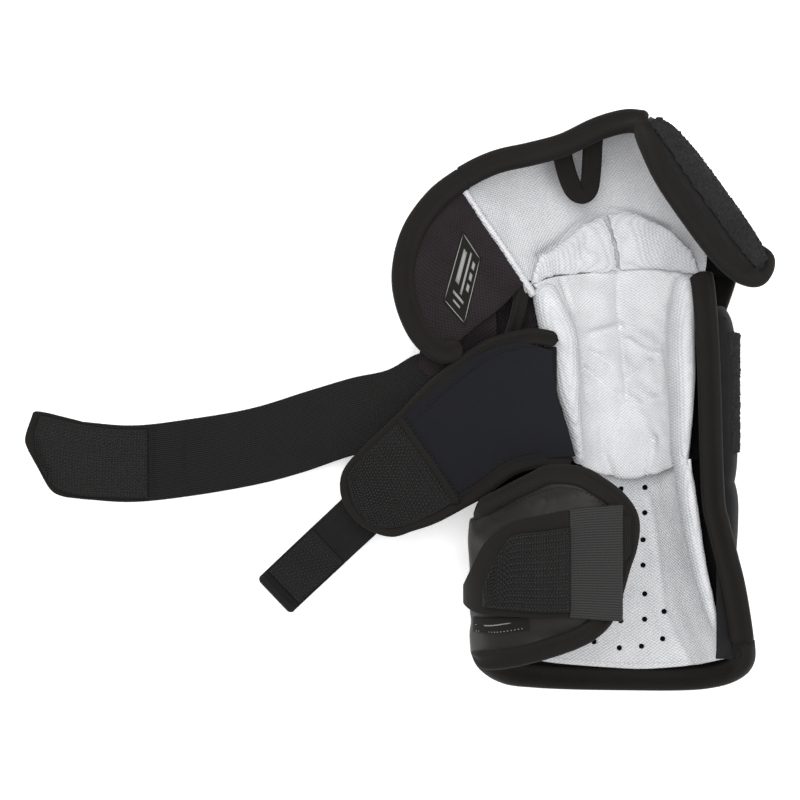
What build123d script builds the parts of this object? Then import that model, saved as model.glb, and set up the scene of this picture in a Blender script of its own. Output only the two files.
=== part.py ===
from build123d import *
import os
from math import asin, cos, radians, sin, sqrt

os.makedirs("parts", exist_ok=True)

# An ice-hockey elbow pad lying on its back with its straps opened, arm side up.
# Origin: middle of the hard elbow cap's outer face. +X across the arm, +Y towards the shoulder, +Z up, out of
# the arm channel. All sizes are millimetres.

# Driving dimensions
shell = 3.0  # hard plastic plates
foam = 9.0  # padding
liner = 2.0  # knit lining
gap = 0.6  # clearance between pieces that move apart
webbing = 2.5  # thickness of strap webbing
patch = 1.5  # thickness of a sewn patch

wrist_y = -178.0  # wrist end of the forearm guard
forearm_y = -52.0  # elbow end of the forearm guard
bicep_y = 78.0  # elbow end of the bicep guard
shoulder_y = 174.0  # shoulder end of the bicep guard

keeper_width = 32.0  # keeper strap


# Each section of a channel: flat floor, an arc up each side and a straight run at each rim.
class Channel:
    def __init__(self, flat, radii, turns, runs):
        self.flat = flat
        self.radii = radii
        self.turns = turns
        self.runs = runs


forearm_wrist = Channel((-50, 22), (50, 48), (72, 88), (0, 9))
forearm_elbow = Channel((-50, 10), (50, 48), (72, 88), (0, 9))
elbow_middle = Channel((-6, 16), (44, 44), (80, 88), (16, 8))
bicep_elbow = Channel((-12, 36), (60, 44), (80, 66), (0, 0))
bicep_shoulder = Channel((-74, -30), (60, 44), (80, 66), (0, 0))


def channel_band(section, depth, thickness, turns=None, runs=None):
    """Band of the given thickness inside a channel section, starting depth from its outer face."""
    turns = turns or section.turns
    runs = runs or section.runs
    left, right = section.flat
    with BuildLine() as band:
        ends = []
        for level in (depth, depth + thickness):
            floor = Line((left, level), (right, level))
            right_arc = JernArc(floor @ 1, (1, 0), section.radii[1] - level, turns[1])
            left_arc = JernArc(floor @ 0, (-1, 0), section.radii[0] - level, -turns[0])
            tips = [left_arc @ 1, right_arc @ 1]
            for side, arc in enumerate((left_arc, right_arc)):
                if runs[side] > 0:
                    rim = Line(arc @ 1, (arc @ 1) + (arc % 1) * runs[side])
                    tips[side] = rim @ 1
            ends.append(tips)
        Line(ends[0][0], ends[1][0])
        Line(ends[0][1], ends[1][1])
    make_face(band.edges())


def curl_band(start, heading, arcs, thickness):
    """Band along a chain of clockwise arcs (radius, turn), with its thickness on the inner side."""
    with BuildLine() as band:
        tips = []
        inward = Vector(sin(radians(heading)), -cos(radians(heading)))
        for depth in (0, thickness):
            point = Vector(*start) + inward * depth
            direction = Vector(cos(radians(heading)), sin(radians(heading)))
            tips.append([point])
            for radius, turn in arcs:
                arc = JernArc(point, direction, radius - depth, -turn)
                point = arc @ 1
                direction = arc % 1
            tips[-1].append(point)
        Line(tips[0][0], tips[1][0])
        Line(tips[0][1], tips[1][1])
    make_face(band.edges())


def outline(points, corner, mode=Mode.INTERSECT, low=-5, high=200):
    """Keep what lies inside an outline seen from above, with rounded corners."""
    with BuildSketch(Plane.XY.offset(low)) as area:
        with BuildLine():
            Polyline(*points, close=True)
        make_face()
        if corner:
            fillet(area.vertices(), corner)
    extrude(area.sketch, amount=high - low, mode=mode)


def forearm_layer(depth, thickness, ends, turns=None, runs=None):
    """Layer of the forearm guard between two stations along the arm."""
    stations = []
    for y in ends:
        share = (y - wrist_y) / (forearm_y - wrist_y)
        station = blend_channel(forearm_wrist, forearm_elbow, share)
        with BuildSketch(Plane.XZ.offset(-y)) as across:
            channel_band(station, depth, thickness, turns, runs)
        stations.append(across.sketch)
    loft(stations, ruled=True)


def bicep_layer(depth, thickness, ends, turns=None, runs=None):
    """Layer of the bicep guard between two stations along the arm."""
    stations = []
    for y in ends:
        share = (y - bicep_y) / (shoulder_y - bicep_y)
        station = blend_channel(bicep_elbow, bicep_shoulder, share)
        with BuildSketch(Plane.XZ.offset(-y)) as across:
            channel_band(station, depth, thickness, turns, runs)
        stations.append(across.sketch)
    loft(stations, ruled=True)


def blend_channel(first, second, share):
    """Channel section part of the way from one section to another."""
    flat = [a + (b - a) * share for a, b in zip(first.flat, second.flat)]
    return Channel(flat, first.radii, first.turns, first.runs)


# The elbow's layers are turned about a line above the pad, so that they cup the point of the elbow.
cup_y = 12.0
cup_radius = 150.0
cup_turn = 44.0
cap_flat = 1.0  # depth of the flat on the cap that the pad rests on
cup_z = cup_radius - cap_flat


def elbow_layer(depth, thickness, turns, runs, turn=cup_turn):
    """Layer of the elbow cup."""
    tilt = radians(turn / 2)
    origin = (0, cup_y - cup_radius * sin(tilt), cup_z - cup_radius * cos(tilt))
    start = Plane(origin=origin, x_dir=(1, 0, 0), z_dir=(0, -cos(tilt), sin(tilt)))
    with BuildSketch(start) as across:
        channel_band(elbow_middle, depth, thickness, turns, runs)
    revolve(across.sketch, axis=Axis((0, cup_y, cup_z), (1, 0, 0)), revolution_arc=turn)


def save(piece, name):
    piece.part.label = name
    export_step(piece.part, f"parts/{name}.step")


# Forearm guard
with BuildPart() as forearm_shell:
    forearm_layer(0, shell, (wrist_y + 12, forearm_y - 10), turns=(56, 62), runs=(0, 0))
    outline([(-86, wrist_y + 12), (66, wrist_y + 12), (50, forearm_y - 10), (-80, forearm_y - 10)], 14)
save(forearm_shell, "forearm_shell")

with BuildPart() as forearm_foam:
    forearm_layer(shell, foam, (wrist_y, forearm_y))
save(forearm_foam, "forearm_foam")

with BuildPart() as forearm_liner:
    forearm_layer(shell + foam, liner, (wrist_y + 2, forearm_y), turns=(60, 72), runs=(0, 0))
save(forearm_liner, "forearm_liner")

with BuildPart() as forearm_end_binding:
    forearm_layer(shell - 1.2, foam + liner + 1.6, (wrist_y - 3, wrist_y - 0.2))
save(forearm_end_binding, "forearm_end_binding")

with BuildPart() as forearm_side_binding:
    for y in (wrist_y, forearm_y):
        station = blend_channel(forearm_wrist, forearm_elbow, (y - wrist_y) / (forearm_y - wrist_y))
        rim_x = station.flat[1] + station.radii[1] - shell - foam / 2
        rim_z = station.radii[1] + station.runs[1] + 4.2
        with BuildSketch(Plane.XZ.offset(-y)):
            with Locations((rim_x, rim_z)):
                SlotCenterToCenter(2.5, foam - 1, rotation=90)
    loft(ruled=True)
save(forearm_side_binding, "forearm_side_binding")

with BuildPart() as forearm_side_pad:
    for y in (wrist_y + 16, forearm_y - 4):
        station = blend_channel(forearm_wrist, forearm_elbow, (y - wrist_y) / (forearm_y - wrist_y))
        face_x = station.flat[1] + station.radii[1] - shell
        with BuildSketch(Plane.XZ.offset(-y)):
            with Locations((face_x + 1.6, 42)):
                Rectangle(2.6, 22)
    loft(ruled=True)
save(forearm_side_pad, "forearm_side_pad")

# Forearm wing: closes over the arm
wing_root = (-97.5, 36.8)
wing_heading = 104
wing_arcs = ((40, 74), (130, 35))
wing_outline = [(-104, -165), (-104, -80), (-84, -58), (-52, -41), (-36, -42), (-8, -57), (4, -74),
                (-2, -112), (-12, -134), (-30, -144), (-70, -164)]

with BuildPart() as forearm_wing:
    with BuildSketch(Plane.XZ.offset(170)):
        curl_band(wing_root, wing_heading, wing_arcs, foam)
    extrude(amount=-135)
    outline(wing_outline, 3)
save(forearm_wing, "forearm_wing")

with BuildPart() as forearm_wing_binding:
    with BuildSketch(Plane.XZ.offset(170)):
        curl_band((wing_root[0] - 0.8, wing_root[1]), wing_heading, ((40.8, 74), (130.8, 35.6)), foam + 1.6)
    extrude(amount=-135)
    outline([(-62, -50), (-52, -38.6), (-36, -39.6), (-5, -55), (7.5, -74), (1, -114), (-9, -137), (-29, -147),
             (-50, -158), (-48, -153), (-29, -143), (-13, -133), (-3, -112), (3, -74), (-9, -56), (-36, -41),
             (-52, -40), (-58, -48)], 0)
    add(forearm_wing.part, mode=Mode.SUBTRACT)
save(forearm_wing_binding, "forearm_wing_binding")


def on_wing(first_turn, arcs, thickness, lift):
    """Thin band lying on the outer face of the forearm wing, starting part of the way round its first arc."""
    radius, turn = wing_arcs[0]
    heading = wing_heading - first_turn
    side = Vector(sin(radians(wing_heading)), -cos(radians(wing_heading)))
    centre = Vector(*wing_root) + side * radius
    start = centre + Vector(-sin(radians(heading)), cos(radians(heading))) * (radius + lift)
    first = (radius + lift, turn - first_turn)
    rest = [(r + lift, t) for r, t in arcs]
    with BuildSketch(Plane.XZ.offset(170)) as across:
        curl_band((start.X, start.Y), heading, [first] + rest, thickness)
    extrude(across.sketch, amount=-135)


with BuildPart() as forearm_wing_stripe:
    on_wing(28, [(130, 6)], 0.8, 0.9)
    outline([(-110, -134), (-60, -137), (-60, -143), (-110, -140)], 0)
save(forearm_wing_stripe, "forearm_wing_stripe")

with BuildPart() as forearm_strap_anchor:
    on_wing(60, [(130, 33)], patch, patch + 0.2)
    outline([(-22, -66), (-4, -66), (-6, -100), (-24, -100)], 2)
save(forearm_strap_anchor, "forearm_strap_anchor")

# Forearm strap: sewn near the wing's free edge, folded back over it
strap_lift = patch + 0.2 + gap + webbing
forearm_strap_outline = [(-13, -62), (-13, -130), (-34, -133), (-97, -128), (-104, -124), (-104, -112),
                         (-92, -84), (-78, -72), (-36, -62)]
with BuildPart() as forearm_strap:
    on_wing(8, [(130, 29)], webbing, strap_lift)
    outline(forearm_strap_outline, 3)
save(forearm_strap, "forearm_strap")

with BuildPart() as forearm_strap_hook:
    on_wing(20, [(130, 8)], patch, strap_lift + gap / 3 + patch)
    outline([(-46, -72), (-46, -129), (-96, -125), (-84, -82)], 2)
save(forearm_strap_hook, "forearm_strap_hook")

# Elbow
with BuildPart() as elbow_cap:
    elbow_layer(0, shell, (66, 66), (0, 0), cup_turn - 6)
    outline([(-56, -34), (66, -34), (66, 58), (-56, 58)], 26, low=0)
save(elbow_cap, "elbow_cap")

with BuildPart() as elbow_foam:
    elbow_layer(shell, foam, (80, 84), (10, 8))
save(elbow_foam, "elbow_foam")

with BuildPart() as elbow_liner:
    elbow_layer(shell + foam, liner, (60, 64), (0, 0))
save(elbow_liner, "elbow_liner")


def cap_face(x, y):
    """Plane on the cap's outer face, facing outwards."""
    left, right = elbow_middle.flat
    radius = elbow_middle.radii[0]
    beyond = x - right if x > 0 else x - left
    rise = radius - sqrt(radius**2 - beyond**2)
    reach = cup_radius - rise
    tilt = asin((y - cup_y) / reach)
    down = Vector(0, sin(tilt), -cos(tilt))
    origin = Vector(x, cup_y, cup_z) + down * reach
    return Plane(origin=origin, x_dir=(0, cos(tilt), sin(tilt)),
                 z_dir=down * sqrt(1 - (beyond / radius) ** 2) + Vector(beyond / radius, 0, 0))


rivet_radius = 4.5
rivet_places = [(x, y) for x in (-26, 36) for y in (-14, 38)]
with BuildPart() as cap_rivets:
    for x, y in rivet_places:
        with BuildSketch(cap_face(x, y)):
            Circle(rivet_radius)
        extrude(amount=1.4)
    fillet(cap_rivets.edges().filter_by(GeomType.CIRCLE), 0.4)
    add(elbow_cap.part, mode=Mode.SUBTRACT)
save(cap_rivets, "cap_rivets")

roll_places = {"liner_roll_left": (-31.2, 10), "liner_roll_right": (39.6, -6)}
for name, (x, lean) in roll_places.items():
    with BuildPart() as roll:
        with BuildSketch(Plane.XZ.offset(26)):
            with Locations((x, 44)):
                Ellipse(5, 13, rotation=lean)
        extrude(amount=-72)
        fillet(roll.edges().filter_by(GeomType.ELLIPSE), 1.5)
    save(roll, name)

with BuildPart() as elbow_wall_left:
    with BuildSketch(Plane.XZ.offset(34)):
        with Locations((-57.6, 42)):
            RectangleRounded(8, 24, 3.5)
    extrude(amount=-62)
save(elbow_wall_left, "elbow_wall_left")

with BuildPart() as elbow_wall_right:
    with BuildSketch(Plane.XZ.offset(40)):
        with Locations((64.4, 44)):
            RectangleRounded(8, 30, 3.5)
    extrude(amount=-90)
save(elbow_wall_right, "elbow_wall_right")

with BuildPart() as elbow_side_binding:
    with BuildSketch(Plane.XZ.offset(38)):
        with Locations((64.4, 61.4)):
            Rectangle(9, 4)
    extrude(amount=-86)
    fillet(elbow_side_binding.edges().filter_by(Axis.Y), 1.6)
save(elbow_side_binding, "elbow_side_binding")

with BuildPart() as elbow_loop_patch:
    with BuildSketch(Plane.YZ.offset(68.6)):
        with Locations((5, 45)):
            RectangleRounded(72, 22, 4)
    extrude(amount=patch)
save(elbow_loop_patch, "elbow_loop_patch")

# Elbow sling and keeper strap
sling_outline = [(-36, -40), (-54, -39), (-74, -44), (-101, -60), (-122, -72), (-146, -83), (-163, -78),
                 (-178, -55), (-168, -34), (-144, -10), (-123, 11), (-103, 26), (-83, 35), (-62, 38), (-54, 27),
                 (-46, 2)]


def sling_layer(lift, thickness):
    """Layer of the sling: level at its root, then sloping down to the left."""
    with BuildSketch(Plane.XZ.offset(90)) as across:
        with BuildLine():
            tips = []
            for level in (lift, lift + thickness):
                root = Line((-30, 57 + level), (-44, 57 + level))
                bend = JernArc(root @ 1, (-1, 0), 90 + level, 18)
                slope = PolarLine(bend @ 1, 116, direction=bend % 1)
                tips.append((root @ 0, slope @ 1))
            Line(tips[0][0], tips[1][0])
            Line(tips[0][1], tips[1][1])
        make_face()
    extrude(across.sketch, amount=-140)


with BuildPart() as sling_panel:
    sling_layer(0, 4.5)
    outline(sling_outline, 2)
    outline([(-200, -100), (-118, -100), (-152, 30), (-200, 30)], 0, mode=Mode.SUBTRACT)
save(sling_panel, "sling_panel")

with BuildPart() as sling_hook_tab:
    sling_layer(1, 3)
    outline(sling_outline, 2)
    outline([(-200, -100), (-118.6, -100), (-152.6, 30), (-200, 30)], 0)
save(sling_hook_tab, "sling_hook_tab")

with BuildPart() as sling_binding:
    sling_layer(4.6, 1.2)
    outline(sling_outline, 2)
    outline([(-45, -32), (-57, -32), (-76, -37), (-103, -53), (-120, -62), (-134, -8), (-119, 5), (-99, 19),
             (-81, 28), (-66, 31), (-61, 24), (-53, 0)], 0, mode=Mode.SUBTRACT)
    outline([(-200, -100), (-119, -100), (-152, 30), (-200, 30)], 0, mode=Mode.SUBTRACT)
save(sling_binding, "sling_binding")

keeper_angle = 223.5
keeper_slope = 0.2
keeper_plane = Plane(origin=(-158, -64, 0), x_dir=(cos(radians(keeper_angle)), sin(radians(keeper_angle)), 0),
                     z_dir=(sin(radians(keeper_angle)), -cos(radians(keeper_angle)), 0))


def keeper_layer(first, last, low, thickness, width):
    """Length of the keeper strap, from first to last along it, dropping to the floor."""
    drop = (last - first) * keeper_slope
    with BuildSketch(keeper_plane.offset(-width / 2)) as side:
        with BuildLine():
            Polyline((first, low), (last, low - drop), (last, low - drop + thickness), (first, low + thickness),
                     close=True)
        make_face()
    extrude(side.sketch, amount=width)


with BuildPart() as keeper_strap_root:
    keeper_layer(-12, 19.6, 21.0, webbing, keeper_width)
save(keeper_strap_root, "keeper_strap_root")

with BuildPart() as keeper_strap:
    keeper_layer(20.4, 88, 13.8, webbing, keeper_width)
save(keeper_strap, "keeper_strap")

with BuildPart() as keeper_strap_hook:
    keeper_layer(38, 84, 13.0, patch, keeper_width - 4)
save(keeper_strap_hook, "keeper_strap_hook")

# Bicep guard
bicep_outline = [(-58, bicep_y), (84, bicep_y), (62, 124), (24, 166), (4, shoulder_y), (-20, 171), (-52, 159),
                 (-88, 149), (-112, 138)]

with BuildPart() as bicep_shell:
    bicep_layer(0, shell, (bicep_y + 6, shoulder_y), (58, 44), (0, 0))
    outline([(-50, bicep_y + 6), (66, bicep_y + 6), (50, 116), (14, 152), (-4, 160), (-48, 150), (-84, 138)], 12)
save(bicep_shell, "bicep_shell")

with BuildPart() as bicep_foam:
    bicep_layer(shell, foam, (bicep_y, shoulder_y))
    outline(bicep_outline, 3)
save(bicep_foam, "bicep_foam")

with BuildPart() as bicep_liner:
    bicep_layer(shell + foam, liner, (bicep_y, shoulder_y), (72, 56), (0, 0))
    outline([(-60, bicep_y), (70, bicep_y), (52, 116), (16, 158), (0, 166), (-20, 163), (-52, 151), (-86, 141)], 3)
save(bicep_liner, "bicep_liner")

with BuildPart() as bicep_binding:
    bicep_layer(shell - 1, foam + liner + 1, (bicep_y, shoulder_y + 2))
    outline([(-114, 140), (-88, 151.6), (-52, 161.6), (-21, 173.6), (4, 176.6), (26, 168), (64, 126), (62.6, 124.6),
             (24.6, 166.2), (4, 174.2), (-20.6, 171.2), (-52.2, 159.2), (-88.2, 149.2), (-113, 138.2)], 0)
    add(bicep_foam.part, mode=Mode.SUBTRACT)
save(bicep_binding, "bicep_binding")

pad_outlines = {
    "upper_pad_left": [(-62, 96), (-34, 82), (-14, 92), (-16, 118), (-38, 140), (-70, 132)],
    "upper_pad_right": [(-10, 92), (12, 84), (36, 90), (40, 104), (14, 134), (-6, 138), (-12, 118)],
}
for name, points in pad_outlines.items():
    with BuildPart() as upper_pad:
        bicep_layer(shell + foam + liner, 5, (bicep_y, shoulder_y), (46, 30), (0, 0))
        outline(points, 4)
    save(upper_pad, name)

with BuildPart() as pull_loop:
    with BuildSketch(Plane.XY.offset(20)) as loop_face:
        with BuildLine():
            Polyline((-46, 156), (-32, 158), (-32, 132), (-24, 132), (-24, 161), (-12, 163), (-12, 121), (-46, 121),
                     close=True)
        make_face()
        fillet(loop_face.vertices().sort_by(Axis.Y)[0:2], 8)
    extrude(amount=webbing)
save(pull_loop, "pull_loop")

# Bicep wing: opens outwards along the ridge of the bicep guard
ridge_low = Vector(-69, 78)
ridge_high = Vector(-112, 136)
ridge = (ridge_high - ridge_low).normalized()
ridge_z = 54.0
outboard = Vector(-ridge.Y, ridge.X)
ridge_plane = Plane(origin=(ridge_low.X, ridge_low.Y, 0), x_dir=(outboard.X, outboard.Y, 0),
                    z_dir=(outboard.Y, -outboard.X, 0))
bicep_wing_outline = [(-71, 79.4), (-114, 138), (-124, 130), (-140, 104), (-147, 78), (-144, 56), (-136, 39),
                      (-119, 28), (-94, 42), (-78, 55), (-70, 68)]


def wing_layer(lift, thickness):
    """Layer of the bicep wing: level at the ridge, drooping outwards."""
    with BuildSketch(ridge_plane.offset(-90)) as across:
        with BuildLine():
            tips = []
            for level in (lift, lift + thickness):
                near = Line((-14 + gap, ridge_z - foam + level), (24, ridge_z - foam + level))
                bend = JernArc(near @ 1, (1, 0), 120 + level, -24)
                far = PolarLine(bend @ 1, 50, direction=bend % 1)
                tips.append((near @ 0, far @ 1))
            Line(tips[0][0], tips[1][0])
            Line(tips[0][1], tips[1][1])
        make_face()
    extrude(across.sketch, amount=180)


with BuildPart() as bicep_wing:
    wing_layer(0, foam - 1)
    outline(bicep_wing_outline, 3)
save(bicep_wing, "bicep_wing")

with BuildPart() as bicep_wing_binding:
    wing_layer(-0.8, foam + 0.8)
    outline([(-116, 140), (-126, 131.6), (-142, 105), (-149, 78), (-146, 55), (-137.6, 37), (-119, 25.6),
             (-93, 39.6), (-76.4, 53), (-68, 67), (-69.4, 67.8), (-77.6, 55.4), (-94, 42.6), (-119, 28.6),
             (-135.6, 39.6), (-143.4, 56), (-146.4, 78), (-139.4, 104), (-123.6, 129.6), (-114, 138)], 0)
    add(bicep_wing.part, mode=Mode.SUBTRACT)
save(bicep_wing_binding, "bicep_wing_binding")

with BuildPart() as wing_label:
    wing_layer(foam - 0.9, 0.9)
    outline([(-104, 105), (-92, 87), (-102, 43), (-117, 60)], 3)
save(wing_label, "wing_label")

# Bicep strap
strap_hinge_x = -198.0


def strap_layer(first, last, low, drop, thickness, points, corner=0):
    """Length of the bicep strap between two places across the pad, over the strap's own outline."""
    with BuildSketch(Plane.XZ.offset(100)) as side:
        with BuildLine():
            Polyline((first, low), (last, low - drop), (last, low - drop + thickness), (first, low + thickness),
                     close=True)
        make_face()
    extrude(side.sketch, amount=-160)
    outline(points, corner)


with BuildPart() as bicep_strap_root:
    strap_layer(-112, strap_hinge_x + gap, 32.2, 23.4, webbing,
                [(-112, 26), (-131, 30), (-148, 19), (-173, 14), (-200, 6), (-200, -46), (-171, -37), (-128, -19),
                 (-112, -10)])
save(bicep_strap_root, "bicep_strap_root")

strap_outline = [(-198, 6), (-234, -5), (-277, -12), (-314, -17), (-352, -12), (-373, -6), (-380, -31),
                 (-360, -61), (-332, -66), (-297, -64), (-263, -59), (-215, -50), (-198, -45)]
with BuildPart() as bicep_strap:
    strap_layer(strap_hinge_x - gap, -250, 8.6, 8.2, webbing, strap_outline)
    strap_layer(-250, -345, 0.4, 0, webbing, strap_outline)
save(bicep_strap, "bicep_strap")

with BuildPart() as bicep_strap_tab:
    strap_layer(-345.4, -382, 0, 0, 4, strap_outline, 4)
save(bicep_strap_tab, "bicep_strap_tab")

with BuildPart() as bicep_strap_hook:
    strap_layer(-300, -378, 4.2, 0, patch,
                [(-300, -18), (-350, -16), (-370, -11), (-376, -31), (-359, -57), (-332, -62), (-300, -61)])
save(bicep_strap_hook, "bicep_strap_hook")

# Bicep flap: stands up on the right and leans over the arm
flap_low = Vector(80, 82)
flap_high = Vector(22, 163)
flap_line = (flap_high - flap_low).normalized()
flap_out = Vector(flap_line.Y, -flap_line.X)
flap_plane = Plane(origin=(flap_low.X, flap_low.Y, 0), x_dir=(-flap_out.X, -flap_out.Y, 0),
                   z_dir=(-flap_out.Y, flap_out.X, 0))
flap_root_z = 31.0


def flap_layer(depth, thickness, arcs):
    """Layer of the flap: rises from its root and leans inwards."""
    with BuildSketch(flap_plane.offset(-14)) as across:
        curl_band((depth, flap_root_z + gap), 100, arcs, thickness)
    extrude(across.sketch, amount=130)


flap_outline = [(80, 70), (63, 71), (46, 80), (35, 89), (24, 105), (18, 120), (10, 137), (0, 155), (4, 168),
                (14, 171), (30, 156), (46, 142), (68, 122), (88, 92), (92, 76)]
with BuildPart() as bicep_flap:
    flap_layer(0, foam, ((52, 62), (90, 16)))
    outline(flap_outline, 3)
save(bicep_flap, "bicep_flap")

with BuildPart() as flap_binding:
    flap_layer(-0.8, foam + 1.6, ((52.8, 62), (90.8, 17)))
    outline([(82, 68), (62, 68.6), (44.4, 77.6), (33, 87.4), (21.6, 104), (15.8, 119), (8, 136), (-2.6, 155),
             (2, 170), (15, 173.4), (14, 171.4), (4, 168.4), (0, 155), (10, 137), (18, 120), (24, 105), (35, 89),
             (46, 80), (63, 71), (80, 70)], 0)
    add(bicep_flap.part, mode=Mode.SUBTRACT)
save(flap_binding, "flap_binding")

with BuildPart() as flap_loop_patch:
    flap_layer(-patch - 0.2, patch, ((53.7, 58), (91.7, 4)))
    outline([(76, 74), (56, 78), (32, 112), (14, 148), (16, 164), (32, 150), (70, 116), (90, 84)], 2)
save(flap_loop_patch, "flap_loop_patch")
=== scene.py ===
import bpy
import math
import numpy as np
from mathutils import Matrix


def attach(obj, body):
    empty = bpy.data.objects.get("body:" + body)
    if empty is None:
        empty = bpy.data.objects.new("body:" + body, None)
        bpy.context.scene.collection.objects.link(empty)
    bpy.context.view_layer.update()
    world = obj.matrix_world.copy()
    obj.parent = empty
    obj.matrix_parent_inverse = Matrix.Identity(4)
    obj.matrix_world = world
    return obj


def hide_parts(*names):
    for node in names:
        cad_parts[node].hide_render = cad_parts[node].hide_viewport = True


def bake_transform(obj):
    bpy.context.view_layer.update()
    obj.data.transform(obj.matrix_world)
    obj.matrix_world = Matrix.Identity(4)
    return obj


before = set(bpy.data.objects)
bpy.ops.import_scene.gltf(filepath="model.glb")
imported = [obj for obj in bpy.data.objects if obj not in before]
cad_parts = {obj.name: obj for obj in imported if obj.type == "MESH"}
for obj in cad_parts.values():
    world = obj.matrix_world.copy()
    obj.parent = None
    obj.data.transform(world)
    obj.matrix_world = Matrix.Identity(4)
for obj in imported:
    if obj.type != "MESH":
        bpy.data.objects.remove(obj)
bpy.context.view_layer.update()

mm = 0.001
rng = np.random.default_rng(7)


# modelling tools; every outline below is a few listed points in millimetres
def clearSelection():
    if bpy.context.object and bpy.context.object.mode != "OBJECT":
        bpy.ops.object.mode_set(mode="OBJECT")
    bpy.ops.object.select_all(action="DESELECT")


def smoothLine(points, count):  # smooth curve through the points, evenly spaced along its length
    points = np.array(points, float)
    padded = np.vstack([2 * points[0] - points[1], points, 2 * points[-1] - points[-2]])
    steps = 20
    t = np.linspace(0, 1, steps, endpoint=False)[:, None]
    fine = []
    for a, b, c, d in zip(padded, padded[1:], padded[2:], padded[3:]):
        bent = 2 * a - 5 * b + 4 * c - d
        fine.append(0.5 * (2 * b + (c - a) * t + bent * t**2 + (3 * b - a - 3 * c + d) * t**3))
    fine = np.vstack(fine + [points[-1:]])
    reach = np.r_[0, np.cumsum(np.linalg.norm(np.diff(fine, axis=0), axis=1))]
    wanted = np.linspace(0, reach[-1], count)
    return np.column_stack([np.interp(wanted, reach, fine[:, k]) for k in range(fine.shape[1])])


def layNet(rows, across, along, height=None):  # surface through rows of points; height gives z in plan
    rows = [smoothLine(row, across) for row in rows]
    table = np.stack([smoothLine([row[i] for row in rows], along) for i in range(across)], axis=1)
    if height:
        z = np.vectorize(height)(table[..., 0], table[..., 1])
        table = np.concatenate([table[..., :2], z[..., None]], axis=2)
    return table


def facing(table, way=1):  # unit normals, turned to point up (way 1) or down (way -1)
    normal = np.cross(np.gradient(table, axis=1), np.gradient(table, axis=0))
    normal /= np.maximum(np.linalg.norm(normal, axis=2, keepdims=True), 1e-9)
    return normal * (np.sign(normal[..., 2].mean()) or 1) * way


def distanceTo(table, route, plan=True):  # distance from each point to a drawn line
    size = 2 if plan else 3
    line = smoothLine(route, 24)[:, :size]
    points = table[..., :size]
    best = np.full(points.shape[:-1], 1e9)
    for a, b in zip(line, line[1:]):
        run = b - a
        share = np.clip(((points - a) @ run) / max(run @ run, 1e-9), 0, 1)
        best = np.minimum(best, np.linalg.norm(points - a - share[..., None] * run, axis=-1))
    return best


def press(table, routes, depth, width, plan=True, way=1):  # sewn lines pressed into padding
    near = np.min([distanceTo(table, route, plan) for route in routes], axis=0)
    return table - facing(table, way) * (depth * np.exp(-((near / width) ** 2)))[..., None]


def crown(table, height, edge=0.18, way=1):  # padding that swells between its four edges
    rows, columns = table.shape[:2]
    v = np.minimum(np.linspace(0, 1, rows), np.linspace(1, 0, rows)) / edge
    u = np.minimum(np.linspace(0, 1, columns), np.linspace(1, 0, columns)) / edge
    swell = np.sqrt(1 - (1 - np.clip(v, 0, 1)) ** 2)[:, None] * np.sqrt(1 - (1 - np.clip(u, 0, 1)) ** 2)
    return table + facing(table, way) * (height * swell)[..., None]


def rumple(table, height, length, seed, way=1):  # soft wrinkles and waves of worn fabric
    draw = np.random.default_rng(seed)
    wave = np.zeros(table.shape[:2])
    count = 6
    for _ in range(count):
        turn = draw.normal(size=3)
        turn *= 2 * math.pi / length / np.linalg.norm(turn) * draw.uniform(0.6, 1.5)
        wave += np.sin(table @ turn + draw.uniform(0, 6.3))
    return table + facing(table, way) * (wave * height / count)[..., None]


def fuzz(table, height, seed, way=1):
    draw = np.random.default_rng(seed)
    return table + facing(table, way) * (draw.normal(size=table.shape[:2]) * height)[..., None]


def raiseBy(table, amount, way=1):
    return table + facing(table, way) * amount


def layCloth(name, table):  # a grid laid over the table of points, with a UV map in metres
    rows, columns = table.shape[:2]
    clearSelection()
    bpy.ops.mesh.primitive_grid_add(x_subdivisions=columns - 1, y_subdivisions=rows - 1, size=2)
    piece = bpy.context.object
    piece.name = piece.data.name = name
    flat = np.array([v.co for v in piece.data.vertices])
    i = np.rint((flat[:, 0] + 1) / 2 * (columns - 1)).astype(int)
    j = np.rint((flat[:, 1] + 1) / 2 * (rows - 1)).astype(int)
    piece.data.vertices.foreach_set("co", (table[j, i] * mm).ravel())
    width = np.linalg.norm(np.diff(table[rows // 2], axis=0), axis=1).sum() * mm
    length = np.linalg.norm(np.diff(table[:, columns // 2], axis=0), axis=1).sum() * mm
    uv = piece.data.uv_layers[0].data
    for corner in uv:
        corner.uv = (corner.uv[0] * width, corner.uv[1] * length)
    piece.data.update()
    return piece


def applyModifier(piece, kind, **settings):
    clearSelection()
    bpy.context.view_layer.objects.active = piece
    piece.select_set(True)
    modifier = piece.modifiers.new(kind.lower(), kind)
    for key, value in settings.items():
        setattr(modifier, key, value)
    bpy.ops.object.modifier_apply(modifier=modifier.name)


def cleanMesh(piece, gapWidth=0.00002):
    clearSelection()
    bpy.context.view_layer.objects.active = piece
    piece.select_set(True)
    bpy.ops.object.mode_set(mode="EDIT")
    bpy.ops.mesh.select_all(action="SELECT")
    bpy.ops.mesh.remove_doubles(threshold=gapWidth)
    bpy.ops.mesh.normals_make_consistent(inside=False)
    bpy.ops.object.mode_set(mode="OBJECT")


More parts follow.
